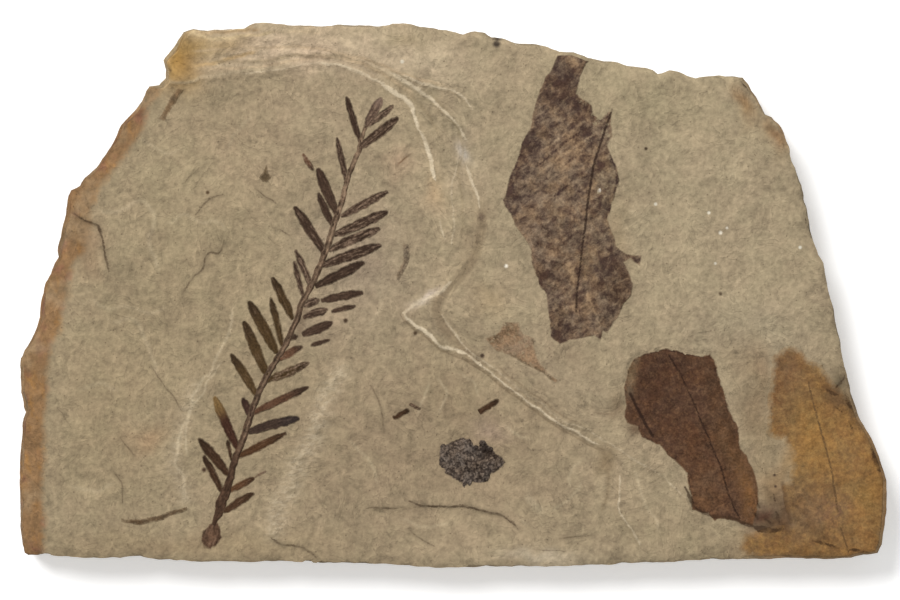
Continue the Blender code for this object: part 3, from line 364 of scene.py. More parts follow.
OCHRE_LEAF = [
    (73.9, -14.3), (76.8, -12.2), (78.5, -11.8), (80.6, -12.6), (82.3, -14.9), (85.3, -16.4), (87.4, -18.9),
    (89.5, -21), (92.4, -24.5), (94.2, -29), (96.4, -33), (98, -36), (99.6, -40), (100.5, -42.5),
    (100.5, -46), (99.6, -57), (98.4, -60), (92, -61), (76, -61), (68, -60.5), (66.3, -58.5), (67.6, -55.2),
    (73.5, -53.6), (78.5, -53), (77.3, -49.7), (76, -44.6), (77.7, -42.9), (78.5, -40), (78.1, -36.6),
    (76.8, -33.7), (73.9, -33.3), (72.6, -32), (73.1, -29.5), (72.8, -25.3), (73.5, -21), (73.9, -16.8),
]
OCHRE_LEAF_RIBS = [
    (0, [(82.5, -20), (82.9, -23), (84, -26.9), (85.3, -31.6), (86.5, -35.8), (87.6, -40.4), (88.2, -44.6),
        (89.1, -50.1)]),
    (0, [(89.9, -53.6), (90.6, -56.4), (91.6, -59.4)]),
    (0.08, [(80.9, -12.6), (82.3, -14.4), (84.4, -15.7)]), (0.1, [(74, -19), (73.6, -24), (73.9, -29)]),
]
SEED_CLUSTER = [
    (-2.5, -35), (-1, -34.5), (0.5, -33.7), (2.5, -33), (3.5, -34), (5, -34.8), (6, -35.3), (7.5, -33.8),
    (8.5, -35), (10, -36.5), (11.5, -37.5), (12.2, -38.7), (11.8, -39.7), (10.5, -40.5), (8.7, -41.5),
    (8, -43), (6, -43.7), (4.5, -43), (3, -44.7), (2.2, -43.5), (0, -42), (-1.5, -41), (-2, -39.5),
    (-3, -38.5), (-2.8, -36.5),
]
LEAF_SCRAP = [
    (7.6, -10.4), (10.4, -12.6), (14.3, -14.5), (19.4, -17.4), (24.2, -20.2), (24.4, -19.6), (21.6, -17.6),
    (19.4, -14.4), (18.9, -10.2), (16.4, -9), (15.4, -6.4), (12, -6.2), (11, -8.6),
]
BARK_SLIVER = [(-63.4, 48.2), (-62.2, 47.4), (-66.6, 40.2), (-67.8, 40.8)]
BUD_SCRAP = [
    (-43.8, 26.2), (-42.6, 26), (-41.6, 27.6), (-42.3, 28.6), (-42.8, 30), (-43.6, 28.6), (-44.6, 27.2),
]
STEM_SCRAP = [
    (-11.4, 12.2), (-10.2, 11.6), (-9.9, 8.8), (-10.8, 6.2), (-12.4, 3.2), (-12.8, 4.2), (-11.6, 7.2),
]
ROOTLET = [
    (-76.4, -51.8), (-72, -52.1), (-67, -50.7), (-61.4, -49.1), (-61.4, -49.8), (-66.8, -51.8),
    (-72, -53.2), (-76.3, -52.4),
]


def paint(red, green, blue):
    """A colour as seen on a screen, 0 to 255, as the linear values that shaders use."""
    parts = (red, green, blue)
    return tuple(((part / 255 + 0.055) / 1.055) ** 2.4 if part > 10 else part / 3295 for part in parts)


def held(value):
    """What a mesh holds for a colour as seen on a screen, or for a single value."""
    return np.array(paint(*value) if isinstance(value, tuple) else [value])


STONE = paint(164, 147, 119)
PALE_STONE = paint(211, 194, 165)
SOFT_STRIP = (184, 167, 137)
WALL_STONE = paint(152, 134, 105)
RUST = paint(137, 106, 73)
# Colour of cracks, grit and plant debris, and of the painted shadow lines under overhanging edges
CRACK = paint(62, 45, 31)

# Soft patches of colour on the rock: middle, half sizes, turn, colour, strength
STONE_PATCHES = [
    (-62, 5, 36, 56, 0, (157, 140, 111), 0.9), (-80, -30, 14, 24, 0, (154, 136, 106), 0.6),
    (-60, 30, 10, 8, 30, (164, 150, 118), 0.5), (-5, -36, 42, 22, 0, (150, 131, 105), 0.85),
    (2, -24, 12, 6, -30, (146, 128, 101), 0.7), (21, -60.5, 8, 1.3, 0, (188, 173, 148), 0.8),
    (14, -24, 14, 5, -35, (160, 142, 114), 0.5), (-48, 34, 16, 12, 0, (165, 145, 117), 0.7),
    # The pale band below the top edge, made lighter still as painted light against the shade of its
    # down-facing slopes
    (-36, 56.4, 23, 4.4, -3, (214, 190, 160), 0.9), (-10, 55, 14, 4, -12, (194, 175, 146), 0.7),
    (-51, 58, 4, 1.6, 5, (160, 132, 90), 0.6), (-12, 58.4, 4.5, 2, 0, (146, 130, 100), 0.6),
    (-30, 42, 12, 10, 0, (162, 144, 118), 0.5), (-22, 8, 10, 13, 20, (160, 141, 120), 0.7),
    (-33, -6, 6, 5, 0, (160, 140, 118), 0.5), (-4.3, 23.6, 1.9, 3.2, 0, (178, 151, 118), 0.7),
    (-12.6, 31, 3.4, 3, 20, (170, 141, 116), 0.5), (9, -31, 3.6, 2.6, 0, (157, 135, 118), 0.5),
    (3.5, 33, 3.5, 10, 10, (168, 151, 124), 0.75), (5, 12, 3, 10, -10, (143, 126, 101), 0.75),
    (2.7, 32.4, 1, 2.2, 25, (180, 171, 158), 0.8), (-6.2, -1.2, 3.2, 0.8, 32, (200, 184, 166), 0.9),
    (9, -1, 4, 3, 0, (170, 148, 114), 0.5), (25, -20, 12, 5, -38, (158, 142, 116), 0.5),
    (60, 20, 22, 34, 0, (166, 150, 122), 0.6), (47, 44, 16, 7, -8, (160, 146, 116), 0.6),
    (68, -8, 10, 6, 0, (168, 154, 128), 0.6), (69.8, -26, 4, 14, 12, (133, 113, 86), 0.9),
    (74.6, -45, 4.2, 4.8, 8, (144, 119, 88), 0.95), (96.5, -34, 13, 3.4, -67, (130, 100, 66), 0.95),
    (99, -50, 3.2, 12, 0, (132, 101, 66), 0.95), (86, -60.4, 16, 2, 0, (126, 97, 64), 0.9),
    # The second patch is painted shadow in the corner left of the brown leaf
    (-84, 10.5, 2.8, 6, 0, (160, 134, 105), 0.75), (38.8, -25.6, 2, 3.4, 10, (112, 93, 71), 0.65),
    (50, -54, 18, 6, 0, (153, 137, 109), 0.7), (-60, -58, 34, 3.5, 0, (150, 130, 100), 0.6),
    (66, -18, 3, 10, 14, (156, 138, 112), 0.6), (73, -57.5, 7, 3.2, 0, (144, 110, 76), 0.8),
    (71.8, -50.8, 3.6, 3.2, 0, (84, 57, 43), 1), (77.2, -50.6, 2.2, 3.4, 0, (96, 72, 50), 0.9),
    (75.6, -53.2, 4.4, 1.6, 0, (96, 70, 47), 0.95), (77.6, -38, 1.8, 4, 0, (152, 122, 84), 0.8),
    (39.2, 14, 2.4, 8, 0, (150, 132, 104), 0.75), (28, -13, 6, 2.2, 0, (144, 126, 102), 0.7),
    (43, -31.6, 1.7, 1.5, 0, (96, 74, 55), 0.85), (35.6, -38.4, 2, 2.2, 0, (128, 109, 82), 0.7),
    (60, -57.5, 9, 3, 0, (150, 134, 106), 0.6), (67.5, 44, 1.8, 4, 25, (152, 118, 80), 0.8),
    (74.5, 37, 1.4, 3.4, 25, (150, 114, 78), 0.8), (-62.5, 54.5, 4.6, 5.5, 0, (166, 128, 68), 0.95),
    (-59, 57.5, 5.5, 2.4, 0, (152, 124, 76), 0.7), (-70, -33, 5, 2.5, 20, (166, 128, 96), 0.4),
    (90.2, -19.8, 1.8, 3, 20, (98, 86, 66), 0.9), (71.4, -18, 1.8, 5, 0, (142, 121, 95), 0.8),
]
# Small spots on the rock: middle, radius, colour
SPOTS = [
    (34.3, 24.2, 0.4, (226, 216, 202)), (12.5, 6.7, 0.4, (232, 224, 205)),
    (59.3, 19, 0.35, (215, 206, 186)), (62, 14.4, 0.4, (222, 214, 194)), (63.5, 15.5, 0.3, (215, 206, 186)),
    (60.8, 7.3, 0.3, (212, 204, 184)), (80.4, 11, 0.35, (215, 208, 190)),
    (-11.5, 53.9, 0.4, (222, 212, 190)), (47, 21, 0.35, (212, 204, 184)), (6.7, 18, 0.75, (112, 96, 78)),
    (-8.5, -8.8, 0.4, (88, 70, 52)), (7, -14, 0.45, (78, 62, 50)), (10.3, 58, 0.8, (74, 64, 54)),
    (62, 0.3, 0.4, (94, 80, 62)), (44.8, 33.8, 0.35, (80, 66, 50)), (-56.5, 23.7, 0.4, (88, 70, 50)),
    (-24.6, -5.9, 0.5, (72, 56, 42)), (-57.3, -40.4, 0.5, (72, 54, 40)), (74.5, -41.6, 0.3, (84, 66, 52)),
    (74.7, -44.2, 0.3, (84, 66, 52)),
]
# Coloured streaks on the rock: half width, colour, strength, line
STREAKS = [
    (0.26, (110, 84, 58), 0.85, [(-13.1, 29.6), (-9.7, 32.5)]),
    (0.7, (104, 90, 72), 0.7, [(51.2, -5.1), (53.2, -4.5)]),
    (0.6, (104, 90, 72), 0.7, [(55.2, -3.4), (56.8, -2.8)]),
    # Painted shade on the steep slope beside the middle step's lip
    (1.2, (131, 114, 90), 0.7, [(7.2, 20), (6.9, 15.6), (6.3, 12.2), (5.4, 9.3), (3.4, 5.9), (0.9, 2.9),
        (-2.2, 0), (-3.8, -2.6), (-3.4, -5.4), (-1.2, -8.6), (1.6, -11.6), (4.6, -14.2), (8, -16.8)]),
    # Painted shadow under the lower arm of the V-shaped lip
    (0.25, (122, 104, 80), 0.55, [(-11.4, -5.2), (-9.8, -7.2), (-7.2, -9), (-5, -10.9), (-2.6, -13),
        (0.6, -14.2), (3.6, -15.2), (8, -18.4), (15, -23.9), (22.2, -29), (29.3, -33.4), (35, -36.4)]),
    (0.25, (124, 106, 82), 0.5, [(10.3, -16.2), (14.9, -20.2), (19.8, -23.2), (22.7, -25.7), (26.1, -28.3),
        (29.5, -29.8)]),
    (0.55, (84, 62, 54), 0.8, [(71.4, -48.2), (72.2, -49.4)]),
    (0.5, (90, 69, 50), 0.8, [(76.4, -43.1), (77, -47.5), (78.4, -52.7)]),
    # Painted shadow on the low side of the ledge whose pale lip runs beside it
    (0.6, (132, 114, 88), 0.6, [(35, -37), (36.2, -41), (36, -46), (34.6, -50)]),
    (0.35, (112, 96, 78), 0.5, [(37.3, -27.6), (38.4, -25.6), (39.3, -23.8)]),
    (0.3, (128, 110, 86), 0.5, [(32.4, -27), (35, -27.4), (37.3, -27.6)]),
    # Painted shadow of the overhanging edge at the plate's upper left
    (0.4, (72, 58, 48), 0.9, [(-66.2, 53), (-65.4, 51.6), (-65.8, 50.4)]),
    (0.45, (150, 122, 84), 0.7, [(-58.5, 61), (-52, 60.7), (-44, 61.4)]),
    (0.4, (206, 182, 142), 0.8, [(-61.3, 60.7), (-58.2, 60), (-56.1, 59.3), (-51, 59.4), (-45.7, 60),
        (-41, 60.8)]),
    (0.5, (196, 164, 116), 0.7, [(-60, 52.8), (-56.6, 53.3), (-51, 54.5), (-44.8, 56.4)]),
    (0.5, (150, 132, 104), 0.6, [(-56, 54), (-45, 53.6), (-36, 55.6), (-26, 55.4), (-18, 52.4), (-11, 47.4),
        (-6.4, 43), (-3, 37)]),
    (0.4, (188, 164, 132), 0.6, [(-60, 56.4), (-50, 57), (-40, 57.6), (-30, 56.8), (-20, 54.4), (-10, 50.6),
        (-2, 48.6)]),
    (0.4, (192, 168, 136), 0.6, [(-56, 52.2), (-46, 52.2), (-38, 54), (-30, 55.2), (-22, 54), (-14, 49.9),
        (-8.6, 46)]),
    (0.35, (186, 164, 132), 0.5, [(-58, 60.6), (-48, 60.2), (-40, 61), (-30, 60.6)]),
    (0.4, (146, 130, 102), 0.5, [(-4.6, 46.2), (-1.6, 43), (0.4, 40), (2.2, 36.4), (2.4, 32), (1.4, 29),
        (1.8, 25), (2.6, 20), (2.4, 14)]),
    (0.9, (108, 88, 70), 0.5, [(-35.4, -9.6), (-34.6, -5), (-33.4, -1.6)]),
    (0.3, (186, 166, 134), 0.4, [(1.2, 3), (-1, -1), (-2.4, -5.4)]),
]

TONES = {
    "brown": ((68, 48, 33), (58, 42, 29)),
    "rust": ((84, 58, 38), (66, 47, 32)),
    "red": ((91, 64, 47), (62, 46, 35)),
    "olive": ((76, 58, 36), (62, 47, 31)),
    "plum": ((60, 38, 28), (112, 88, 54)),
    "dusk": ((66, 46, 38), (60, 42, 35)),
    "faded": ((84, 66, 55), (118, 97, 84)),
    "blue": ((58, 45, 37), (50, 41, 37)),
    "black": ((66, 50, 39), (60, 45, 35)),
}
WORN_FILM = paint(124, 103, 85)


# Shapes and noise on the plate

def smooth(value):
    """Eases from 0 to 1 as the value goes from 0 to 1."""
    value = np.clip(value, 0.0, 1.0)
    return value * value * (3.0 - 2.0 * value)


def lumps(x, y, size, seed):
    """Smooth noise between -1 and 1 whose lumps are about one size wide."""
    table = np.random.default_rng(seed).uniform(-1.0, 1.0, (128, 128))
    across = x / size
    up = y / size
    column = np.floor(across).astype(int)
    row = np.floor(up).astype(int)
    right = smooth(across - column)
    above = smooth(up - row)

    def between(row):
        return table[row % 128, column % 128] * (1 - right) + table[row % 128, (column + 1) % 128] * right

    return between(row) * (1 - above) + between(row + 1) * above


def rough(x, y, size, seed):
    """Noise of three sizes, for broken edges and uneven ground."""
    coarse = lumps(x, y, size, seed) + 0.5 * lumps(x, y, size / 2.1, seed + 1)
    return coarse + 0.25 * lumps(x, y, size / 4.3, seed + 2)


def ragged(points, amount=RAGGED):
    """Moves points a little, by a noise that depends on the place alone, so shared lines stay together."""
    x, y = points.T
    return points + amount * np.column_stack([rough(x, y, 2.6, 11), rough(x, y, 2.6, 21)])


def rounded(line, closed=False):
    """The same line with its corners cut twice, which makes it a smooth curve."""
    line = np.array(line, float)
    for _ in range(2):
        ends = np.roll(line, -1, axis=0)
        starts = line if closed else line[:-1]
        ends = ends if closed else ends[:-1]
        cut = np.stack([0.78 * starts + 0.22 * ends, 0.22 * starts + 0.78 * ends], axis=1).reshape(-1, 2)
        line = cut if closed else np.vstack([line[:1], cut[1:-1], line[-1:]])
    return line


def spaced(line, step, closed=False):
    """Points along a line, its corners and others about a step apart, with no others far off the plate."""
    line = np.array(line, float)
    result = []
    for start, end in zip(line, np.roll(line, -1, axis=0) if closed else line[1:]):
        near = np.all(np.minimum(np.abs(start), np.abs(end)) < NEAR_PLATE)
        count = max(1, round(math.dist(start, end) / step)) if near else 1
        result += [start + (end - start) * (number / count) for number in range(count)]
    return np.array(result if closed else result + [line[-1]])


def drawn(line, step=LINE_STEP, amount=RAGGED):
    """A given line, made smooth and then a little ragged."""
    return ragged(spaced(rounded(line), step), amount)


def closed_lip(line, amount=RAGGED):
    """The closed edge of a bed or stain, made smooth and then a little ragged."""
    return ragged(spaced(rounded(line, True), 1.0, closed=True), amount)


def turned_left(outline):
    """The outline in the direction that keeps its inside on the left."""
    x, y = outline.T
    area = np.sum(x * np.roll(y, -1) - np.roll(x, -1) * y)
    return outline if area > 0 else outline[::-1]


def nearest(points, line, closed=False):
    """Distance of each point from a line, its side (1 left, -1 right) and how far along the line it is."""
    distance = np.full(len(points), np.inf)
    side = np.zeros(len(points))
    along = np.zeros(len(points))
    gone = 0.0
    ends = np.roll(line, -1, axis=0) if closed else line[1:]
    for start, end in zip(line, ends):
        run = end - start
        length = max(math.hypot(*run), 1e-9)
        away_x = points[:, 0] - start[0]
        away_y = points[:, 1] - start[1]
        share = np.clip((away_x * run[0] + away_y * run[1]) / length ** 2, 0.0, 1.0)
        here = np.hypot(away_x - share * run[0], away_y - share * run[1])
        closer = here < distance
        distance[closer] = here[closer]
        side[closer] = np.sign(run[0] * away_y - run[1] * away_x)[closer]
        along[closer] = (gone + share * length)[closer]
        gone += length
    return distance, side, along


def inside(points, outline):
    """Tells which points lie inside a closed outline."""
    hit = np.zeros(len(points), bool)
    x, y = points.T
    for (x1, y1), (x2, y2) in zip(outline, np.roll(outline, -1, axis=0)):
        if y1 != y2:
            crosses = (y1 > y) != (y2 > y)
            hit ^= crosses & (x < x1 + (y - y1) * (x2 - x1) / (y2 - y1))
    return hit


def depth_in(points, outline):
    """Distance of each point from a closed outline, positive inside it."""
    distance = nearest(points, outline, closed=True)[0]
    return np.where(inside(points, outline), distance, -distance)


def close_to(points, line, reach):
    """Tells which points are near the box round a line, so that the rest needn't be measured."""
    low = line.min(axis=0) - reach
    high = line.max(axis=0) + reach
    return np.all((points > low) & (points < high), axis=1)


def beside(line, distance):
    """The line that runs beside another at a distance to its left."""
    along = np.gradient(line, axis=0)
    along /= np.maximum(np.hypot(along[:, 0], along[:, 1]), 1e-9)[:, None]
    return line + distance * np.column_stack([-along[:, 1], along[:, 0]])


def runs_inside(line, outline, margin):
    """The stretches of a line that lie inside an outline by a margin."""
    kept = depth_in(line, outline) > margin
    result = []
    start = None
    for number, keep in enumerate(np.append(kept, False)):
        if keep and start is None:
            start = number
        if not keep and start is not None:
            if number - start > 1:
                result.append(line[start:number])
            start = None
    return result


EDGE = ragged(spaced(SLAB_OUTLINE, EDGE_STEP, closed=True), 0.16)


# Heights of the rock's face

def swell(x, y):
    """Slow waves that every bed of the rock shares."""
    return SWELL * (np.sin(x / 19.0 + 1.0) * np.cos(y / 15.0) + 0.5 * np.sin((x + 2.0 * y) / 11.0))


def shoot_bed(x, y):
    """The flaked bed at the left that holds the shoot."""
    return SHOOT_BED + swell(x, y)


def rim_flake(x, y):
    """A flake missing at the left rim, deepest at its upper lip."""
    return shoot_bed(x, y) - 0.06 - RIM_FLAKE * smooth((y - 1.0) / 15.0)


def hollow(x, y):
    """The shallow bowl that holds the seed cluster."""
    bowl = np.exp(-((x - 8.0) / 28.0) ** 2 - ((y + 36.0) / 17.0) ** 2)
    return shoot_bed(x, y) - HOLLOW_LIP - HOLLOW_BOWL * bowl


def hollow_floor(x, y):
    """The bed below the curved crack in the bowl, which rises back towards the plate's bottom edge."""
    return hollow(x, y) - 0.06 - HOLLOW_FLOOR * smooth((y + 58.0) / 8.0)


def lower_step(x, y):
    """The first step up from the shoot's bed. It fades where its lip dies out."""
    fade = np.exp(-((x + 3.0) / 8.0) ** 2 - ((y - 13.0) / 9.0) ** 2)
    return LOWER_STEP + swell(x, y) - 0.38 * fade


def middle_step(x, y):
    """The second step, which also holds the brown leaf."""
    return MIDDLE_STEP + swell(x, y)


def upper_bed(x, y):
    """The highest bed, which sinks towards the lower right."""
    sink = smooth((x - 58.0) / 12.0) * smooth((-6.0 - y) / 14.0)
    return UPPER_BED + swell(x, y) - 0.4 * sink


# Beds laid on the shoot's bed in turn: height, lip, and the ledge's run outside (+) or inside (-) the lip
BEDS = (
    (hollow, HOLLOW_EDGE, -0.7),
    (hollow_floor, HOLLOW_FLOOR_EDGE, -0.5),
    (rim_flake, RIM_FLAKE_EDGE, -0.8),
    (lower_step, LOWER_STEP_LIP, 0.9),
    (middle_step, MIDDLE_STEP_LIP, 0.7),
    (upper_bed, UPPER_BED_LIP, 0.9),
)
LIPS = [closed_lip(lip) for _, lip, _ in BEDS]
LOWER_LIP = LIPS[3]
UPPER_LIP = LIPS[5]
CRACK_LINES = [(depth, drawn(line)) for depth, line in CRACKS]
LIP_LINES = [(half, strength, drawn(line)) for half, strength, line in PALE_LIPS]
DARK_LINES = [(0.06 + 0.7 * depth, 0.5 + 1.8 * depth, line) for depth, line in CRACK_LINES]
# Plant debris and painted shadow of overhanging edges, drawn as dark lines
DARK_LINES += [(half, 1.0, drawn(line)) for half, line in DEBRIS_AND_EDGE_SHADOWS]
BAND_LINES = [(half, strength, drawn(line, 1.5, 0.8)) for half, strength, line in PALE_BANDS]
STREAK_LINES = [(half, colour, strength, drawn(line)) for half, colour, strength, line in STREAKS]
STREAK_LINES += [(half, SOFT_STRIP, strength, drawn(line, LINE_STEP, 0.45))
                 for half, strength, line in PALE_STRIPS]
RIM = closed_lip(STAINED_RIM, 0.3)


def left_share(x, y):
    """How far a point of the edge belongs to the stained left side: 1 there, 0 elsewhere."""
    return smooth((STAIN_SIDE - x) / STAIN_FADE) * smooth((y - STAIN_FOOT) / STAIN_FOOT_FADE)


def low_side(line):
    """Side of a small ledge that lies lower: the one that looks down the plate."""
    run = line[-1] - line[0]
    return -1.0 if run[1] * 0.5 + run[0] > 0 else 1.0


def tapered(along, run, start=0.0):
    """How full a line is along its way: it grows and dies out over a run at its ends."""
    total = along.max() if len(along) else 0.0
    return smooth(along / run + start) * smooth((total - along) / run + start)


def stone_height(points):
    """Height of the rock's face."""
    x, y = points.T
    height = shoot_bed(x, y)
    for (bed, _, run), edge in zip(BEDS, LIPS):
        depth = depth_in(points, edge)
        share = np.clip(1.0 + depth / run, 0.0, 1.0) if run > 0 else np.clip(-depth / run, 0.0, 1.0)
        height += (bed(x, y) - height) * share
    for depth, line in CRACK_LINES:
        near = close_to(points, line, CRACK_REACH)
        distance, side, along = nearest(points[near], line)
        below = (side * low_side(line) > 0) & (distance > 0.05)
        height[near] -= np.where(below, depth * tapered(along, 3.0) * np.exp(-distance / CRACK_RUN), 0.0)
    for half, strength, line in BAND_LINES:
        near = close_to(points, line, 3.0 * half)
        distance = nearest(points[near], line)[0]
        height[near] += BAND_RISE * strength * np.exp(-((distance / half) ** 2))
    edge_distance = np.abs(nearest(points, EDGE, closed=True)[0])
    in_rim = np.maximum(depth_in(points, RIM), 0.0)
    fall = in_rim / (in_rim + edge_distance + 0.05)
    height -= STAINED_FALL * fall ** 1.3
    width = PLAIN_RIM * (1.0 + 0.9 * np.maximum(rough(x, y, 9.0, 31), 0.0))
    height -= PLAIN_FALL * np.clip(1.0 - edge_distance / width, 0.0, 1.0) ** 2
    height += 0.12 * rough(x, y, 9.0, 41) + 0.04 * rough(x, y, 2.4, 51)
    height += 0.12 * fall * rough(x, y, 3.0, 61)
    return height


# Colours of the rock's face

def laid_over(points, colours, patches):
    """Lays soft, uneven patches of colour over points, one after another."""
    x, y = points.T
    x = x + 1.2 * rough(x, y, 7.0, 71)
    y = y + 1.2 * rough(x, y, 7.0, 81)
    for middle_x, middle_y, half_x, half_y, turn, colour, strength in patches:
        turn = math.radians(turn)
        u = (x - middle_x) * math.cos(turn) + (y - middle_y) * math.sin(turn)
        v = (y - middle_y) * math.cos(turn) - (x - middle_x) * math.sin(turn)
        share = strength * np.exp(-((u / half_x) ** 4 + (v / half_y) ** 4) ** 0.5)
        colours += share[:, None] * (held(colour) - colours)
    return colours


def drawn_over(points, colours, streaks):
    """Draws coloured streaks over points."""
    for half, colour, strength, line in streaks:
        near = close_to(points, line, 2.0 * half + 0.5)
        distance, _, along = nearest(points[near], line)
        share = strength * (0.2 + 0.8 * tapered(along, 1.5)) * smooth(1.4 - distance / half)
        colours[near] += share[:, None] * (held(colour) - colours[near])
    return colours


def line_marks(points, lines):
    """How far each point is inside the nearest line's half width, below 0 outside, and how clear it is."""
    edge = np.full(len(points), -3.0)
    show = np.zeros(len(points))
    for half, strength, line in lines:
        near = np.flatnonzero(close_to(points, line, 3.0))
        distance, _, along = nearest(points[near], line)
        uneven = 1.0 + 0.5 * rough(*points[near].T, 3.0, 211)
        here = half * uneven * (0.3 + 0.7 * tapered(along, 2.5, 0.1)) - distance
        closer = here > edge[near]
        edge[near[closer]] = here[closer]
        show[near[closer]] = min(strength, 1.0)
    return edge, show


def stone_marks(points):
    """What the rock's material reads at each point: its tint and the places of its marks."""
    x, y = points.T
    tint = laid_over(points, np.tile(np.array(STONE), (len(points), 1)), STONE_PATCHES)
    tint = drawn_over(points, tint, STREAK_LINES)
    for spot_x, spot_y, radius, colour in SPOTS:
        share = smooth(1.6 - np.hypot(x - spot_x, y - spot_y) / radius)
        tint += share[:, None] * (held(colour) - tint)
    lip_edge, lip_show = line_marks(points, LIP_LINES)
    dark_edge, dark_show = line_marks(points, DARK_LINES)
    band = np.zeros(len(points))
    for half, strength, line in BAND_LINES:
        near = close_to(points, line, 3.0 * half)
        distance = nearest(points[near], line)[0]
        band[near] = np.maximum(band[near], strength * np.exp(-((distance / half) ** 2)))
    contour = depth_in(points, UPPER_LIP)
    banded = smooth((depth_in(points, LOWER_LIP) + 1.0) / 2.0) * smooth((2.5 - contour) / 3.0)
    return {
        "tint": tint,
        "stain": depth_in(points, RIM),
        "lip_edge": lip_edge,
        "lip_show": lip_show,
        "dark_edge": dark_edge,
        "dark_show": dark_show,
        "band": band,
        "contour": contour,
        "banded": banded,
        "side": np.zeros(len(points)),
    }


# Meshes

def turned(points, angle):
    """Points turned about the origin."""
    x, y = points.T
    cosine = math.cos(angle)
    sine = math.sin(angle)
    return np.column_stack([x * cosine - y * sine, x * sine + y * cosine])


def hexagons(low, high, step):
    """Points of an offset grid over a box, each moved a little."""
    rows = int((high[1] - low[1]) / (step * ROW_HEIGHT)) + 1
    columns = int((high[0] - low[0]) / step) + 1
    column, row = np.meshgrid(np.arange(columns), np.arange(rows))
    points = np.column_stack([
        (low[0] + step * (column + 0.5 * (row % 2))).ravel(),
        (low[1] + step * ROW_HEIGHT * row).ravel(),
    ])
    return points + np.random.default_rng(7).uniform(-0.16, 0.16, points.shape) * step


def away_from(points, others, distance):
    """The points that are at least a distance from the others."""
    tree = kdtree.KDTree(len(others))
    for number, (x, y) in enumerate(others):
        tree.insert((x, y, 0.0), number)
    tree.balance()
    kept = [tree.find((x, y, 0.0))[2] > distance for x, y in points]
    return points[np.array(kept)]


def triangulated(outlines, lines, points):
    """Fills the area inside all the outlines with triangles that follow the lines and use the points."""
    coords = []
    faces = []
    edges = []
    for outline in outlines:
        faces.append(list(range(len(coords), len(coords) + len(outline))))
        coords += [Vector(point) for point in turned_left(outline)]
    for line in lines:
        edges += [(index, index + 1) for index in range(len(coords), len(coords) + len(line) - 1)]
        coords += [Vector(point) for point in line]
    coords += [Vector(point) for point in points]
    places, _, triangles, _, _, covers = delaunay_2d_cdt(coords, edges, faces, 0, 1e-4)
    every = set(range(len(outlines)))
    kept = [tuple(triangle) for triangle, cover in zip(triangles, covers) if every <= set(cover)]
    used = sorted({index for triangle in kept for index in triangle})
    order = {index: number for number, index in enumerate(used)}
    flat = np.array([places[index][:] for index in used])
    return flat, [tuple(order[index] for index in triangle) for triangle in kept]


def border(triangles):
    """The border of a patch of triangles, as one loop of vertices."""
    directed = set()
    for a, b, c in triangles:
        directed.update([(a, b), (b, c), (c, a)])
    following = {a: b for a, b in directed if (b, a) not in directed}
    loop = [min(following)]
    while following[loop[-1]] != loop[0]:
        loop.append(following[loop[-1]])
    return loop


def set_marks(mesh, marks):
    """Writes values and colours to a mesh, one for each vertex."""
    for name, values in marks.items():
        if values.ndim == 2:
            layer = mesh.attributes.new(name, "FLOAT_COLOR", "POINT")
            layer.data.foreach_set("color", np.column_stack([values, np.ones(len(values))]).ravel())
        else:
            layer = mesh.attributes.new(name, "FLOAT", "POINT")
            layer.data.foreach_set("value", values.astype(np.float32))


def new_piece(name, vertices, faces, marks, material, sharp=50.0):
    """Makes one object at the origin of a mesh in millimetres."""
    mesh = bpy.data.meshes.new(name)
    mesh.from_pydata((np.asarray(vertices) * MM).tolist(), [], faces)
    mesh.update()
    set_marks(mesh, marks)
    mesh.materials.append(material)
    piece = bpy.data.objects.new(name, mesh)
    bpy.context.scene.collection.objects.link(piece)
    select_only(piece)
    bpy.ops.object.shade_smooth_by_angle(angle=math.radians(sharp))
    return piece


def select_only(piece):
    """Makes one object the selected and active one."""
    bpy.ops.object.select_all(action="DESELECT")
    piece.select_set(True)
    bpy.context.view_layer.objects.active = piece


def on_plate(piece, node):
    """Lets a finished piece stand for a node of the plate."""
    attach(piece, "root")
    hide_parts(node)


def moved_in(points, inset):
    """Moves points of the plate's edge towards the plate's middle."""
    radius = np.hypot(points[:, 0], points[:, 1])
    return points * ((radius - inset) / radius)[:, None]


def face_lines(outline):
    """Lines that the rock's face is cut along, with the points beside them that keep the marks narrow."""
    lines = []
    beside_points = []
    for (_, _, run), edge in zip(BEDS, LIPS):
        ring = turned_left(edge)
        ring = np.vstack([ring, ring[:1]])
        lines += runs_inside(ring, outline, 0.6)
        beside_points += runs_inside(beside(ring, -run), outline, 0.6)
    for _, line in CRACK_LINES:
        for stretch in runs_inside(line, outline, 0.5):
            lines.append(stretch)
            beside_points += [beside(stretch, 0.3), beside(stretch, -0.3)]
    for _, _, line in LIP_LINES:
        beside_points += [line, beside(line, 0.5), beside(line, -0.5)]
    for half, _, _, line in STREAK_LINES:
        beside_points += [line, beside(line, 1.3 * half), beside(line, -1.3 * half)]
    beside_points += [line for _, _, line in DARK_LINES]
    turns = np.arange(7) * math.tau / 7
    ring = np.column_stack([np.cos(turns), np.sin(turns)])
    for x, y, radius, _ in SPOTS:
        beside_points += [np.array([(x, y)]), (x, y) + 0.6 * radius * ring, (x, y) + 1.6 * radius * ring]
    return lines, np.vstack(beside_points)


def slab_face():
    """Places and triangles of the rock's face."""
    x, y = EDGE.T
    outline = moved_in(EDGE, TOP_INSET + WALL_LEAN * left_share(x, y))
    lines, extra = face_lines(outline)
    extra = extra[depth_in(extra, outline) > 0.5]
    extra = away_from(extra, np.vstack(lines), 0.2)
    fixed = np.vstack(lines + [outline, extra])
    grid = hexagons(outline.min(axis=0), outline.max(axis=0), GRID_STEP)
    grid = grid[inside(grid, outline)]
    grid = away_from(grid, fixed, 0.55 * GRID_STEP)
    return triangulated([outline], lines, np.vstack([extra, grid]))


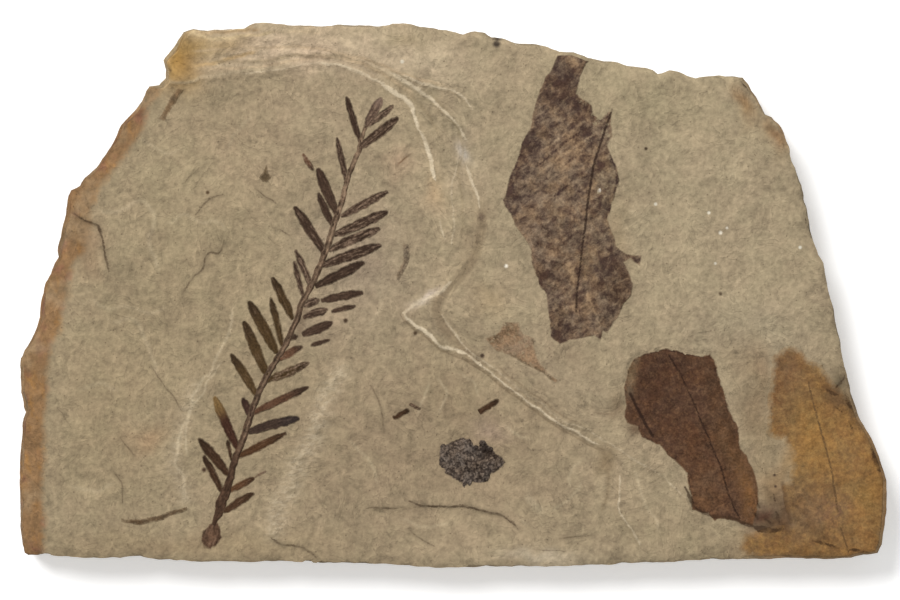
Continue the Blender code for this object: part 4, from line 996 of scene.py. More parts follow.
def wall_inset(points, height, share):
    """How far the broken edge stands back at a height, bed by bed."""
    x, y = points.T
    shares, insets = np.array(WALL_INSETS).T
    inset = np.interp(share, shares, insets)
    wave = height + 0.5 * rough(x, y, 30.0, 91)
    bed = np.floor(wave / LAMINA + 0.35 * np.sin(wave * 2.1))
    inset = inset + 0.42 * (1.0 + lumps(x + 37.0 * bed, y - 23.0 * bed, 7.0, 101))
    inset += 0.16 * (1.0 + lumps(x - 11.0 * bed, y + 13.0 * bed, 2.2, 111))
    inset += WALL_LEAN * left_share(x, y) * smooth((share - 0.4) / 0.5)
    return np.maximum(inset - WALL_BULGE, -1.0)


def back_height(flat, foot_height):
    """Height of the back: a flat bed that the plate rests on, and broken shelves round it."""
    x, y = flat.T
    shelf = moved_in(EDGE, BACK_SHELF_INSET + 1.5 * np.sin(EDGE[:, 0] * 0.31) + np.cos(EDGE[:, 1] * 0.45))
    height = np.full(len(flat), foot_height)
    height += (BACK_SHELF - height) * np.clip(depth_in(flat, shelf) / 0.9 + 0.5, 0.0, 1.0)
    height += 0.1 * rough(x, y, 6.0, 121)
    face = ragged(spaced(BACK_FACE_OUTLINE, 1.0, closed=True), 0.5)
    share = np.clip(depth_in(flat, face) / 0.7 + 0.5, 0.0, 1.0)
    height *= 1.0 - share
    height += 0.03 * share * np.maximum(rough(x, y, 5.0, 131), 0.0)
    return np.maximum(height, 0.0)


def slab_mesh():
    """The whole closed surface of the rock: its face, its broken edge in thin beds, and its back."""
    flat, triangles = slab_face()
    heights = stone_height(flat)
    vertices = [np.column_stack([flat, heights])]
    marks = [stone_marks(flat)]
    faces = list(triangles)
    loop = np.array(border(triangles))
    top = vertices[0][loop]
    x, y = top[:, :2].T
    out = moved_in(top[:, :2], -(TOP_INSET + WALL_LEAN * left_share(x, y)))
    rim_marks = stone_marks(moved_in(out, 1.5))
    face_marks_only = ("lip_show", "dark_show", "band", "banded")
    previous = loop
    count = len(flat)
    for row in range(1, WALL_ROWS + 1):
        share = 1.0 - (1.0 - WALL_FOOT) * row / WALL_ROWS
        level = top[:, 2] * share
        ring = moved_in(out, wall_inset(out, level, share))
        vertices.append(np.column_stack([ring, level]))
        # The side mark darkens the broken edge below its first rows, as painted shade
        down = min(1.0, row / 3.0)
        ring_marks = dict(rim_marks, side=np.full(len(ring), down))
        for name in face_marks_only:
            ring_marks[name] = rim_marks[name] * (1.0 - down)
        plain = 0.8 * smooth(row / 16.0 + 0.5 * rough(x, y, 6.0, 231))[:, None]
        ring_marks["tint"] = rim_marks["tint"] + plain * (np.array(WALL_STONE) - rim_marks["tint"])
        ring_marks["stain"] = rim_marks["stain"] - 1.5 * row / WALL_ROWS * (1.0 + rough(x, y, 5.0, 241))
        marks.append(ring_marks)
        current = np.arange(count, count + len(ring))
        count += len(ring)
        corners = np.stack([np.roll(previous, -1), previous, current, np.roll(current, -1)], axis=1)
        for a, b, c, d in corners.tolist():
            faces += [(a, b, c), (a, c, d)]
        previous = current
    foot = vertices[-1]
    spread = hexagons(foot[:, :2].min(axis=0), foot[:, :2].max(axis=0), BACK_STEP)
    spread = spread[inside(spread, foot[:, :2])]
    spread = away_from(spread, foot[:, :2], 0.6 * BACK_STEP)
    coords = np.vstack([foot[:, :2], spread])
    places, _, pieces, sources, _, covers = delaunay_2d_cdt(
        [Vector(point) for point in coords], [], [list(range(len(foot)))], 0, 1e-4)
    number = {}
    back = []
    for index, source in enumerate(sources):
        if source and min(source) < len(foot):
            number[index] = int(previous[min(source)])
        else:
            number[index] = count + len(back)
            back.append(places[index][:])
    back = np.array(back)
    vertices.append(np.column_stack([back, back_height(back, float(np.median(foot[:, 2])))]))
    back_marks = stone_marks(back)
    for name in face_marks_only:
        back_marks[name] = back_marks[name] * 0.0
    back_marks["tint"] = np.tile(np.array(STONE), (len(back), 1))
    # The back is darkened a little, as painted shade
    back_marks["side"] = np.full(len(back), 0.6)
    marks.append(back_marks)
    for piece, cover in zip(pieces, covers):
        if cover:
            a, b, c = (number[index] for index in piece)
            faces.append((c, b, a))
    joined = {name: np.concatenate([part[name] for part in marks]) for name in marks[0]}
    return np.vstack(vertices), faces, joined


def film_marks(points, edge, own):
    """What a film's material reads: the rock's marks under it, the depth inside its edge, and its own."""
    return {**stone_marks(points), "edge": edge, **own}


def add_film(name, outline, material, marks_of, step=FILM_STEP, rise=FILM_RISE, relief=0.0, lump=1.6):
    """A thin film that follows the rock. Its outline is ragged, and its skirt goes into the rock."""
    ring = turned_left(ragged(spaced(outline, step, closed=True)))
    slope_x, slope_y = np.gradient(np.vstack([ring[-2:], ring, ring[:2]]), axis=0)[2:-2].T
    wide = ring - FILM_SKIRT * np.column_stack([-slope_y, slope_x]) / step
    grid = hexagons(wide.min(axis=0), wide.max(axis=0), step)
    depth = depth_in(grid, ring)
    grid = grid[depth > -FILM_SKIRT + 0.3 * step]
    grid = away_from(grid, ring, 0.5 * step)
    inner = moved_in(EDGE, TOP_INSET + 0.25)
    flat, triangles = triangulated([wide, inner], [np.vstack([ring, ring[:1]])], grid)
    edge_depth = depth_in(flat, ring)
    lift = rise * smooth(0.5 + edge_depth / 0.6) - 0.1 * smooth(-edge_depth / FILM_SKIRT)
    if relief:
        lift = lift + relief * (1.2 + rough(*flat.T, lump, 141)) * smooth(edge_depth / 0.8)
    vertices = np.column_stack([flat, stone_height(flat) + lift])
    marks = film_marks(flat, edge_depth, marks_of(flat))
    piece = new_piece(name, vertices, triangles, marks, material)
    thicken(piece)
    return piece


def thicken(piece):
    """Gives a film its thickness, downwards into the rock."""
    select_only(piece)
    solid = piece.modifiers.new("thickness", "SOLIDIFY")
    solid.thickness = FILM_THICKNESS * MM
    solid.offset = -1.0
    bpy.ops.object.modifier_apply(modifier=solid.name)


def strip_grid(rows, columns):
    """A flat grid for a strip, with the places of its points across (-1 to 1) and along (0 to 1)."""
    bpy.ops.object.select_all(action="DESELECT")
    bpy.ops.mesh.primitive_grid_add(x_subdivisions=columns, y_subdivisions=rows, size=2.0)
    piece = bpy.context.active_object
    place = np.empty(len(piece.data.vertices) * 3)
    piece.data.vertices.foreach_get("co", place)
    across, along = place.reshape(-1, 3).T[:2]
    return piece, across, (along + 1.0) / 2.0


def film_lift(edge, rise, skirt=FILM_SKIRT):
    """Height of a strip above the rock by the distance inside its edge. Outside, it sinks into the rock."""
    return rise * smooth(0.45 + edge / 0.6) - FILM_SINK * smooth(-edge / skirt)


def fibre_part(piece, flat, lift, edge, colour, wear, across, along):
    """One strip or dome of the shoot: its grid, its places, what its material reads and its flat places."""
    wear = np.full(len(flat), wear)
    marks = {"edge": edge, "paint": colour, "wear": wear, "across": across, "along": along}
    return piece, np.column_stack([flat, stone_height(flat) + lift]), marks, flat


def add_leaflet(base, tip, width, tone, wear, profile=LEAFLET_HALF_WIDTHS):
    """One leaflet: a strip with a blunt round tip, domed a little, whose skirt goes under the rock."""
    piece, across, share = strip_grid(44, 16)
    start = np.array(base)
    run = np.array(tip) - start
    length = math.hypot(*run)
    run = run / length
    side = np.array([-run[1], run[0]])
    shares, halves = np.array(profile).T
    reach = share * (length + 2 * FILM_SKIRT) - FILM_SKIRT
    seed = abs(base[0] * 3.1 + base[1] * 1.7)
    bend = 0.012 * length * math.sin(seed * 5.0)
    part = np.clip(reach / length, 0.0, 1.0)
    middle = start + np.outer(reach, run) + np.outer(bend * 4.0 * part * (1.0 - part), side)
    away = across * (width / 2.0 + FILM_SKIRT)
    flat = middle - np.outer(away, side)
    cap = 0.5 * width * halves[-1]
    end = length - cap
    half = np.interp(reach / end, shares, halves) * width / 2.0
    edge = np.where(reach > end, cap - np.hypot(reach - end, away), half - np.abs(away))
    edge = np.where(reach < 0, half - np.hypot(reach, away), edge)
    edge = edge + 0.13 * rough(*flat.T, 1.1, 151)
    lift = film_lift(edge, 0.08) + 0.03 * smooth(1.0 - np.abs(away) / 0.35) * smooth(edge)
    first, last = (held(colour) for colour in TONES[tone])
    colour = first + smooth((part - 0.5) / 0.35)[:, None] * (last - first)
    colour = colour * (1.0 + 0.13 * math.sin(seed * 11.0))
    return fibre_part(piece, flat, lift, edge, colour, wear, away + 9.0 * math.sin(seed), reach)


def fibre_piece(name, parts, material):
    """Joins strips of the shoot, or one loose strip, into one finished piece."""
    vertices = []
    faces = []
    marks = []
    flats = []
    count = 0
    for piece, places, own, flat in parts:
        for polygon in piece.data.polygons:
            faces.append(tuple(count + index for index in polygon.vertices))
        vertices.append(places)
        marks.append(own)
        flats.append(flat)
        count += len(places)
        mesh = piece.data
        bpy.data.objects.remove(piece, do_unlink=True)
        bpy.data.meshes.remove(mesh)
    joined = {key: np.concatenate([own[key] for own in marks]) for key in marks[0]}
    joined = {**stone_marks(np.vstack(flats)), **joined}
    piece = new_piece(name, np.vstack(vertices), faces, joined, material)
    if piece.data.polygons[0].normal.z < 0:
        piece.data.flip_normals()
    thicken(piece)
    return piece


def add_stem():
    """The stem: a long strip, thick at its foot and of two dark strands with a pale furrow further up."""
    line = np.array(STEM)
    way = np.concatenate([[0], np.cumsum(np.hypot(*np.diff(line[:, :2], axis=0).T))])
    piece, across, share = strip_grid(300, 18)
    reach = share * way[-1]
    places = []
    for shift in (0.0, 1.5, -1.5):
        here = np.clip(reach + shift, 0.0, way[-1])
        places.append(np.column_stack([np.interp(here, way, line[:, axis]) for axis in (0, 1)]))
    run = places[1] - places[2]
    run /= np.hypot(run[:, 0], run[:, 1])[:, None]
    side = np.column_stack([-run[:, 1], run[:, 0]])
    half = np.interp(reach, way, line[:, 2]) / 2.0
    away = across * (half + 0.4)
    flat = places[0] - side * away[:, None]
    flat += 0.12 * np.column_stack([rough(*flat.T, 2.0, 181), rough(*flat.T, 2.0, 191)])
    edge = half - np.abs(away) + 0.1 * rough(*flat.T, 0.9, 151)
    edge = np.minimum(edge, way[-1] - reach)
    part = reach / way[-1]
    furrow = smooth((part - 0.14) / 0.12) * smooth(1.35 - np.abs(away) / 0.28)
    broken = smooth((part - 0.5) / 0.3) * smooth(0.65 + 1.6 * rough(*flat.T, 1.1, 201))
    lift = film_lift(edge, 0.2, 0.4) - 0.14 * furrow
    foot, strand, pale = (held(colour) for colour in ((72, 53, 40), (83, 65, 51), (138, 115, 93)))
    colour = foot + smooth((part - 0.12) / 0.2)[:, None] * (strand - foot)
    colour += np.clip(0.4 * furrow + 0.62 * broken, 0.0, 0.9)[:, None] * (pale - colour)
    colour *= (1.0 + 0.3 * rough(away * 1.5 + 40.0, reach * 0.5, 0.5, 221))[:, None]
    colour *= (1.0 + 0.3 * rough(*flat.T, 0.8, 223))[:, None]
    return fibre_part(piece, flat, lift, edge + 0.18, colour, 0.0, away, reach)


def add_knob():
    """The swollen foot of the shoot: a low oval dome."""
    bpy.ops.object.select_all(action="DESELECT")
    bpy.ops.mesh.primitive_circle_add(vertices=36, radius=1.0, fill_type="TRIFAN")
    piece = bpy.context.active_object
    bpy.ops.object.mode_set(mode="EDIT")
    bpy.ops.mesh.select_all(action="SELECT")
    bpy.ops.mesh.subdivide(number_cuts=7)
    bpy.ops.object.mode_set(mode="OBJECT")
    place = np.empty(len(piece.data.vertices) * 3)
    piece.data.vertices.foreach_get("co", place)
    u, v = place.reshape(-1, 3).T[:2]
    radius = np.hypot(u, v)
    half_x, half_y = (half + FILM_SKIRT for half in KNOB_HALF)
    u = u * (1.0 - 0.5 * np.maximum(v, 0.0) ** 1.4)
    flat = KNOB + turned(np.column_stack([u * half_x, v * half_y]), KNOB_TILT)
    edge = (1.0 - radius) * half_x - FILM_SKIRT + 0.22 * rough(*flat.T, 1.2, 161)
    wrinkles = 1.0 + 0.4 * rough(u * 3, v * 3, 1.2, 163)
    dome = KNOB_RISE * np.sqrt(np.clip(1.0 - radius ** 2, 0.0, 1.0)) * wrinkles
    lift = dome * smooth(0.3 + edge / 0.8) - FILM_SINK * smooth(-edge / FILM_SKIRT)
    middle = smooth(edge / 1.6)[:, None]
    colour = held((86, 64, 49)) * (1.0 - middle) + held((92, 69, 53)) * middle
    colour *= (1.05 + 0.45 * rough(*flat.T, 1.1, 165))[:, None]
    return fibre_part(piece, flat, lift, edge, colour, 0.1, u * 2.0, v * 2.0)


def seed_crowns():
    """Low lumps scattered over the seed cluster: the places and faces of them all."""
    outline = np.array(SEED_CLUSTER, float)
    places = hexagons(outline.min(axis=0), outline.max(axis=0), 1.5)
    places = places[depth_in(places, outline) > 0.2]
    chance = np.random.default_rng(5)
    places = places + chance.uniform(-0.4, 0.4, places.shape)
    bpy.ops.object.select_all(action="DESELECT")
    bpy.ops.mesh.primitive_ico_sphere_add(subdivisions=3, radius=1.0)
    ball = bpy.context.active_object
    shape = np.array([vertex.co[:] for vertex in ball.data.vertices])
    polygons = [tuple(polygon.vertices) for polygon in ball.data.polygons]
    bpy.data.objects.remove(ball, do_unlink=True)
    vertices = []
    faces = []
    for (x, y), height in zip(places, stone_height(places)):
        size = chance.uniform(0.45, 0.95)
        bumps = 1.0 + 0.2 * rough(shape[:, 0] * 1.6 + x, shape[:, 1] * 1.6 + y, 1.0, 171)
        seed = shape * (size * chance.uniform(0.9, 1.4), size, 0.3) * bumps[:, None]
        spun = turned(seed[:, :2], chance.uniform(0.0, math.pi))
        start = len(shape) * len(vertices)
        vertices.append(np.column_stack([spun, seed[:, 2]]) + (x, y, height + 0.08))
        faces += [tuple(start + index for index in polygon) for polygon in polygons]
    return np.vstack(vertices), faces


# Materials

# Values of the rock's mesh that its material reads
MARKS = ("Stain", "Lip edge", "Lip show", "Dark edge", "Dark show", "Band", "Contour", "Banded", "Side")


class Nodes:
    """Adds nodes to one node tree and links them."""

    def __init__(self, tree):
        self.tree = tree

    def add(self, kind, inputs, output=0, **settings):
        """Adds a node with its settings, fills or links its inputs, and gives one of its outputs."""
        node = self.tree.nodes.new(kind)
        for name, value in settings.items():
            setattr(node, name, value)
        return self.filled(node, inputs)[output]

    def filled(self, node, inputs):
        """Fills or links a node's inputs and gives its outputs."""
        for name, value in inputs.items():
            if isinstance(value, bpy.types.NodeSocket):
                self.tree.links.new(value, node.inputs[name])
            else:
                node.inputs[name].default_value = value
        return node.outputs

    def math(self, operation, first, second=0.0, third=0.0):
        """A sum on up to three values."""
        return self.add("ShaderNodeMath", {0: first, 1: second, 2: third}, operation=operation)

    def place(self):
        """The place on the plate, in millimetres."""
        return self.scaled(self.add("ShaderNodeTexCoord", {}, "Object"), 1000.0)

    def noise(self, place, size, detail=2.0, roughness=0.5, distortion=0.0):
        """Noise about 0 whose lumps are about one size wide, in millimetres."""
        noise = self.add("ShaderNodeTexNoise", {
            "Vector": place, "Scale": 1.0 / size, "Detail": detail, "Roughness": roughness,
            "Distortion": distortion,
        })
        return self.math("SUBTRACT", noise, 0.5)

    def mapped(self, place, turn, scale=(1.0, 1.0, 1.0)):
        """The place, turned about the plate's normal and then stretched."""
        rotation = (0.0, 0.0, math.radians(turn))
        place = self.add("ShaderNodeMapping", {"Vector": place, "Rotation": rotation})
        return self.add("ShaderNodeMapping", {"Vector": place, "Scale": scale})

    def ramp(self, value, low, high, start=0.0, end=1.0):
        """Goes smoothly from start to end as the value goes from low to high."""
        return self.add("ShaderNodeMapRange", {
            "Value": value, "From Min": low, "From Max": high, "To Min": start, "To Max": end,
        }, interpolation_type="SMOOTHSTEP")

    def mix(self, share, first, second, blend="MIX"):
        """Mixes two colours."""
        inputs = {0: share, 6: first, 7: second}
        return self.add("ShaderNodeMix", inputs, 2, data_type="RGBA", blend_type=blend)

    def blend_values(self, share, first, second):
        """Mixes two values."""
        return self.add("ShaderNodeMix", {0: share, 2: first, 3: second}, 0)

    def scaled(self, colour, factor):
        """A place, or a colour, times a factor."""
        return self.add("ShaderNodeVectorMath", {0: colour, "Scale": factor}, operation="SCALE")

    def mark(self, name, output="Fac"):
        """A value or colour that the mesh holds."""
        return self.add("ShaderNodeAttribute", {}, output, attribute_name=name)

    def times(self, *values):
        """The product of several values."""
        return reduce(partial(self.math, "MULTIPLY"), values)

    def total(self, *values):
        """The sum of several values."""
        return reduce(partial(self.math, "ADD"), values)

    def flakes(self, level, steps, torn, light, dark):
        """A stair of thin flakes over a level: each one's slope, and a painted highlight and painted shade
        along its edges.
        """
        flake = self.math("FRACT", self.times(level, steps))
        edge = self.times(self.ramp(flake, 0.6, 0.96), torn, light)
        return flake, edge, self.times(self.ramp(flake, 0.04, 0.3, 1.0, 0.0), torn, dark)


def new_group(name, inputs, outputs):
    """Starts a shader node group with named inputs and outputs."""
    tree = bpy.data.node_groups.new(name, "ShaderNodeTree")
    kinds = {"Place": "NodeSocketVector", "Tint": "NodeSocketColor", "Colour": "NodeSocketColor"}
    for labels, side in ((inputs, "INPUT"), (outputs, "OUTPUT")):
        for label in labels:
            tree.interface.new_socket(label, in_out=side, socket_type=kinds.get(label, "NodeSocketFloat"))
    source = tree.nodes.new("NodeGroupInput")
    sink = tree.nodes.new("NodeGroupOutput")
    return Nodes(tree), source.outputs, sink.inputs


def use_group(nodes, name, inputs):
    """Places a node group in a material and gives its outputs."""
    node = nodes.tree.nodes.new("ShaderNodeGroup")
    node.node_tree = bpy.data.node_groups[name]
    return nodes.filled(node, inputs)


def build_shale_group(looks):
    """Shale: salt-and-pepper grain, mottling, flake edges with painted highlight and shade, pale lips, dark
    lines with painted shade beside them, the rim's rust and painted shade on the broken sides.
    """
    nodes, given, made = new_group(
        "Shale", ("Place", "Tint", *MARKS), ("Colour", "Height", "Roughness", "Dark"))
    place = given["Place"]
    fine = nodes.noise(place, 0.48, 2.0, 0.7)
    clump = nodes.noise(place, 1.25, 3.0, 0.6)
    mottle = nodes.noise(place, 4.0, 4.0, 0.6, 0.6)
    patch = nodes.noise(place, 16.0, 3.0, 0.55)
    level = nodes.noise(place, 15.0, 4.0, 0.5, 0.4)
    strokes = nodes.total(
        nodes.ramp(nodes.noise(nodes.mapped(place, 14.0, (0.2, 1.0, 1.0)), 0.55, 2.0, 0.5), 0.08, 0.2),
        nodes.ramp(nodes.noise(nodes.mapped(place, -52.0, (0.2, 1.0, 1.0)), 0.55, 2.0, 0.5), 0.1, 0.22),
    )
    shade = nodes.total(
        nodes.times(fine, 0.26), nodes.times(clump, 0.9), nodes.times(mottle, 0.72),
        nodes.times(patch, 0.42), nodes.times(strokes, 0.03), -0.045,
    )
    streak = nodes.noise(nodes.add("ShaderNodeCombineXYZ", {
        "X": nodes.times(given["Contour"], 0.95), "Y": nodes.times(mottle, 1.6),
        "Z": nodes.times(patch, 4.0),
    }), 1.0, 3.0, 0.6)
    shade = nodes.total(shade, nodes.times(streak, given["Banded"], 0.34))
    broken = nodes.ramp(nodes.noise(nodes.mapped(place, 30.0), 6.0, 3.0, 0.6), -0.06, 0.08)
    # Painted highlight and painted shade along the edges of two stairs of flakes, laid into the colour
    flake, light, dark = nodes.flakes(level, 15.0, broken, 0.1, -0.09)
    shade = nodes.total(shade, light, dark)
    ripple = nodes.noise(nodes.mapped(place, -70.0), 8.0, 3.0, 0.5, 0.8)
    torn = nodes.ramp(nodes.noise(nodes.mapped(place, 75.0), 5.0, 3.0, 0.6), 0.0, 0.1)
    scale, light, dark = nodes.flakes(ripple, 11.0, torn, 0.09, -0.07)
    shade = nodes.total(shade, light, dark)
    warm = nodes.ramp(nodes.noise(place, 6.0, 3.0, 0.55), -0.18, 0.18)
    tint = nodes.mix(warm, nodes.mix(1.0, given["Tint"], (0.994, 1.0, 0.985, 1.0), "MULTIPLY"),
                     nodes.mix(1.0, given["Tint"], (1.01, 0.99, 0.988, 1.0), "MULTIPLY"))
    colour = nodes.scaled(tint, nodes.math("ADD", shade, 1.0))
    rust_edge = nodes.total(given["Stain"], nodes.times(clump, 1.6), nodes.times(mottle, 2.4))
    weak = nodes.ramp(nodes.noise(place, 9.0, 2.0, 0.5), -0.16, 0.04, 0.6, 1.0)
    rust_share = nodes.times(nodes.ramp(rust_edge, -1.0, 1.3), weak)
    rust_tone = nodes.noise(nodes.mapped(place, -25.0, (1.0, 0.5, 1.0)), 2.6, 4.0, 0.65)
    rust = nodes.mix(nodes.ramp(rust_tone, -0.02, 0.26), (*looks.rust, 1.0), (*paint(150, 110, 64), 1.0))
    rust = nodes.mix(nodes.ramp(nodes.noise(place, 5.5, 3.0), 0.0, 0.2), rust, (*paint(132, 94, 70), 1.0))
    rust = nodes.scaled(rust, nodes.total(nodes.times(shade, 1.1), 1.0))
    colour = nodes.mix(rust_share, colour, rust)
    lip_share = nodes.times(given["Lip show"], nodes.ramp(
        nodes.total(given["Lip edge"], nodes.times(fine, 0.4), nodes.times(clump, 0.6)), -0.26, 0.24),
        nodes.ramp(nodes.noise(place, 2.6, 3.0, 0.6), -0.18, 0.08, 0.5, 1.0))
    dashes = nodes.noise(nodes.mapped(place, -8.0, (0.45, 1.0, 1.0)), 0.8, 3.0, 0.6)
    band_share = nodes.times(given["Band"], nodes.ramp(dashes, -0.1, 0.14, 0.16, 0.55))
    pale = nodes.math("MAXIMUM", lip_share, band_share)
    fresh = nodes.scaled(tuple(looks.pale_stone), nodes.total(nodes.times(shade, 0.6), 1.0))
    colour = nodes.mix(pale, colour, fresh)
    # Dark lines: cracks, plant debris and painted shadow under overhanging edges
    dark = nodes.times(given["Dark show"], nodes.ramp(
        nodes.total(given["Dark edge"], nodes.times(fine, 0.7), nodes.times(clump, 0.9)), -0.2, 0.16),
        nodes.ramp(nodes.noise(place, 2.0, 3.0, 0.6), -0.16, 0.1, 0.4, 0.86))
    # Painted shade: a soft darkening of the rock beside the dark lines
    painted_line_shade = nodes.ramp(nodes.total(given["Dark edge"], mottle), -1.0, 0.15)
    painted_line_shade = nodes.times(given["Dark show"], painted_line_shade, -0.2)
    colour = nodes.mix(dark, nodes.scaled(colour, nodes.math("ADD", painted_line_shade, 1.0)), (*looks.crack, 1.0))
    # Bedding stripes on the broken sides, and painted shade that darkens the sides and the back
    layers = nodes.noise(nodes.mapped(place, 0.0, (0.05, 0.05, 1.5)), 1.0, 3.0, 0.6)
    layers = nodes.times(layers, given["Side"], 1.1)
    colour = nodes.scaled(colour, nodes.total(layers, nodes.times(given["Side"], -0.18), 1.0))
    grit = nodes.add("ShaderNodeTexVoronoi", {"Vector": place, "Scale": 0.5}, "Distance")
    colour = nodes.mix(nodes.ramp(grit, 0.06, 0.12, 0.4, 0.0), colour, (*looks.crack, 1.0))
    height = nodes.total(
        nodes.times(fine, 0.08), nodes.times(clump, 0.2), nodes.times(mottle, 0.55), patch,
        nodes.times(flake, nodes.math("MULTIPLY_ADD", broken, 0.06, 0.02)),
        nodes.times(scale, nodes.times(torn, 0.04)),
        nodes.times(streak, given["Banded"], 0.22), nodes.times(pale, 0.05), nodes.times(dark, -0.06),
        nodes.times(dashes, given["Band"], 0.16),
    )
    nodes.tree.links.new(colour, made["Colour"])
    nodes.tree.links.new(height, made["Height"])
    nodes.tree.links.new(nodes.ramp(fine, -0.3, 0.3, 0.82, 0.95), made["Roughness"])
    nodes.tree.links.new(dark, made["Dark"])


def build_tear_group():
    """Torn film: how much of a film is left, from its ragged edge inwards."""
    nodes, given, made = new_group("Torn film", ("Place", "Edge", "Rag", "Softness"), ("Left",))
    coarse = nodes.noise(given["Place"], 1.1, 3.0, 0.6)
    fine = nodes.noise(given["Place"], 0.35, 2.0, 0.6)
    coarse = nodes.times(coarse, given["Rag"], 2.5)
    edge = nodes.total(given["Edge"], coarse, nodes.times(fine, given["Rag"], 1.2))
    nodes.tree.links.new(nodes.ramp(nodes.math("DIVIDE", edge, given["Softness"]), -0.5, 0.5), made["Left"])


def build_speckle_group():
    """Speckle: how much of a film's second tone shows: little at 0.3, half at 0.5, nearly all at 0.7."""
    nodes, given, made = new_group("Speckle", ("Place", "Amount", "Size", "Softness"), ("Share",))
    place = nodes.scaled(given["Place"], nodes.math("DIVIDE", 1.0, given["Size"]))
    clump = nodes.noise(place, 1.0, 5.0, 0.68, 0.3)
    value = nodes.math("DIVIDE", nodes.total(clump, given["Amount"], -0.5), given["Softness"])
    nodes.tree.links.new(nodes.ramp(value, -1.0, 1.0), made["Share"])


def start_material(name):
    """A new material with its Principled shader."""
    material = bpy.data.materials.new(name)
    material.use_nodes = True
    nodes = Nodes(material.node_tree)
    shader = material.node_tree.nodes["Principled BSDF"]
    return material, nodes, shader


def shale_under(nodes, place):
    """The rock's colour, relief and roughness, read from the marks of the mesh."""
    marks = {label: nodes.mark(label.lower().replace(" ", "_")) for label in MARKS}
    return use_group(nodes, "Shale", {"Place": place, "Tint": nodes.mark("tint", "Color"), **marks})


def finish_material(nodes, shader, colour, height, roughness, gloss):
    """Links a finished colour, relief in millimetres and roughness to the shader."""
    normal = nodes.add("ShaderNodeBump", {"Height": height, "Strength": 1.0, "Distance": MM}, "Normal")
    nodes.tree.links.new(colour, shader.inputs["Base Color"])
    nodes.tree.links.new(normal, shader.inputs["Normal"])
    nodes.tree.links.new(roughness, shader.inputs["Roughness"])
    shader.inputs["Specular IOR Level"].default_value = gloss


def shale_material():
    """The rock."""
    material, nodes, shader = start_material("Shale")
    stone = shale_under(nodes, nodes.place())
    finish_material(nodes, shader, stone["Colour"], stone["Height"], stone["Roughness"], STONE_GLOSS)
    return material


def leaflet_material():
    """Leaflets: a dark grainy film with streaks along it, and worn flecks of a paler tone."""
    material, nodes, shader = start_material("Leaflet carbon")
    place = nodes.place()
    stone = shale_under(nodes, place)
    edge = nodes.mark("edge")
    wear = nodes.mark("wear")
    left = use_group(nodes, "Torn film", {
        "Place": place, "Edge": edge, "Rag": 0.2, "Softness": 0.6,
    })["Left"]
    grain = nodes.noise(place, 0.5, 3.0, 0.7)
    strand = nodes.noise(nodes.add("ShaderNodeCombineXYZ", {
        "X": nodes.times(nodes.mark("across"), 2.1), "Y": nodes.times(nodes.mark("along"), 0.34),
    }), 1.0, 4.0, 0.6)
    clump = nodes.noise(place, 0.9, 3.0, 0.65)
    paint_in = nodes.mark("paint", "Color")
    middle = nodes.ramp(edge, 0.1, 0.7)
    worn = nodes.ramp(nodes.total(strand, nodes.times(clump, 0.6), nodes.times(wear, 0.26)), 0.02, 0.36)
    worn = nodes.times(worn, nodes.ramp(middle, 0.0, 1.0, 0.7, 0.95), nodes.ramp(wear, 0.0, 0.4, 0.3, 1.0))
    flecks = nodes.ramp(nodes.total(grain, nodes.times(strand, 0.4)), -0.14, 0.02, 0.8, 0.0)
    fresh = nodes.scaled(paint_in, nodes.ramp(middle, 0.0, 1.0, 0.88, 1.04))
    colour = nodes.mix(worn, fresh, (*WORN_FILM, 1.0))
    colour = nodes.mix(nodes.times(flecks, worn), colour, paint_in)
    colour = nodes.scaled(colour, nodes.total(nodes.times(grain, 1.7), nodes.times(strand, 1.3), 1.0))
    colour = nodes.mix(left, stone["Colour"], colour)
    film_height = nodes.total(nodes.times(grain, 0.07), nodes.times(strand, 0.07), nodes.times(worn, -0.02))
    height = nodes.blend_values(left, stone["Height"], film_height)
    roughness = nodes.blend_values(left, stone["Roughness"], 0.7)
    finish_material(nodes, shader, colour, height, roughness, FILM_GLOSS)
    return material


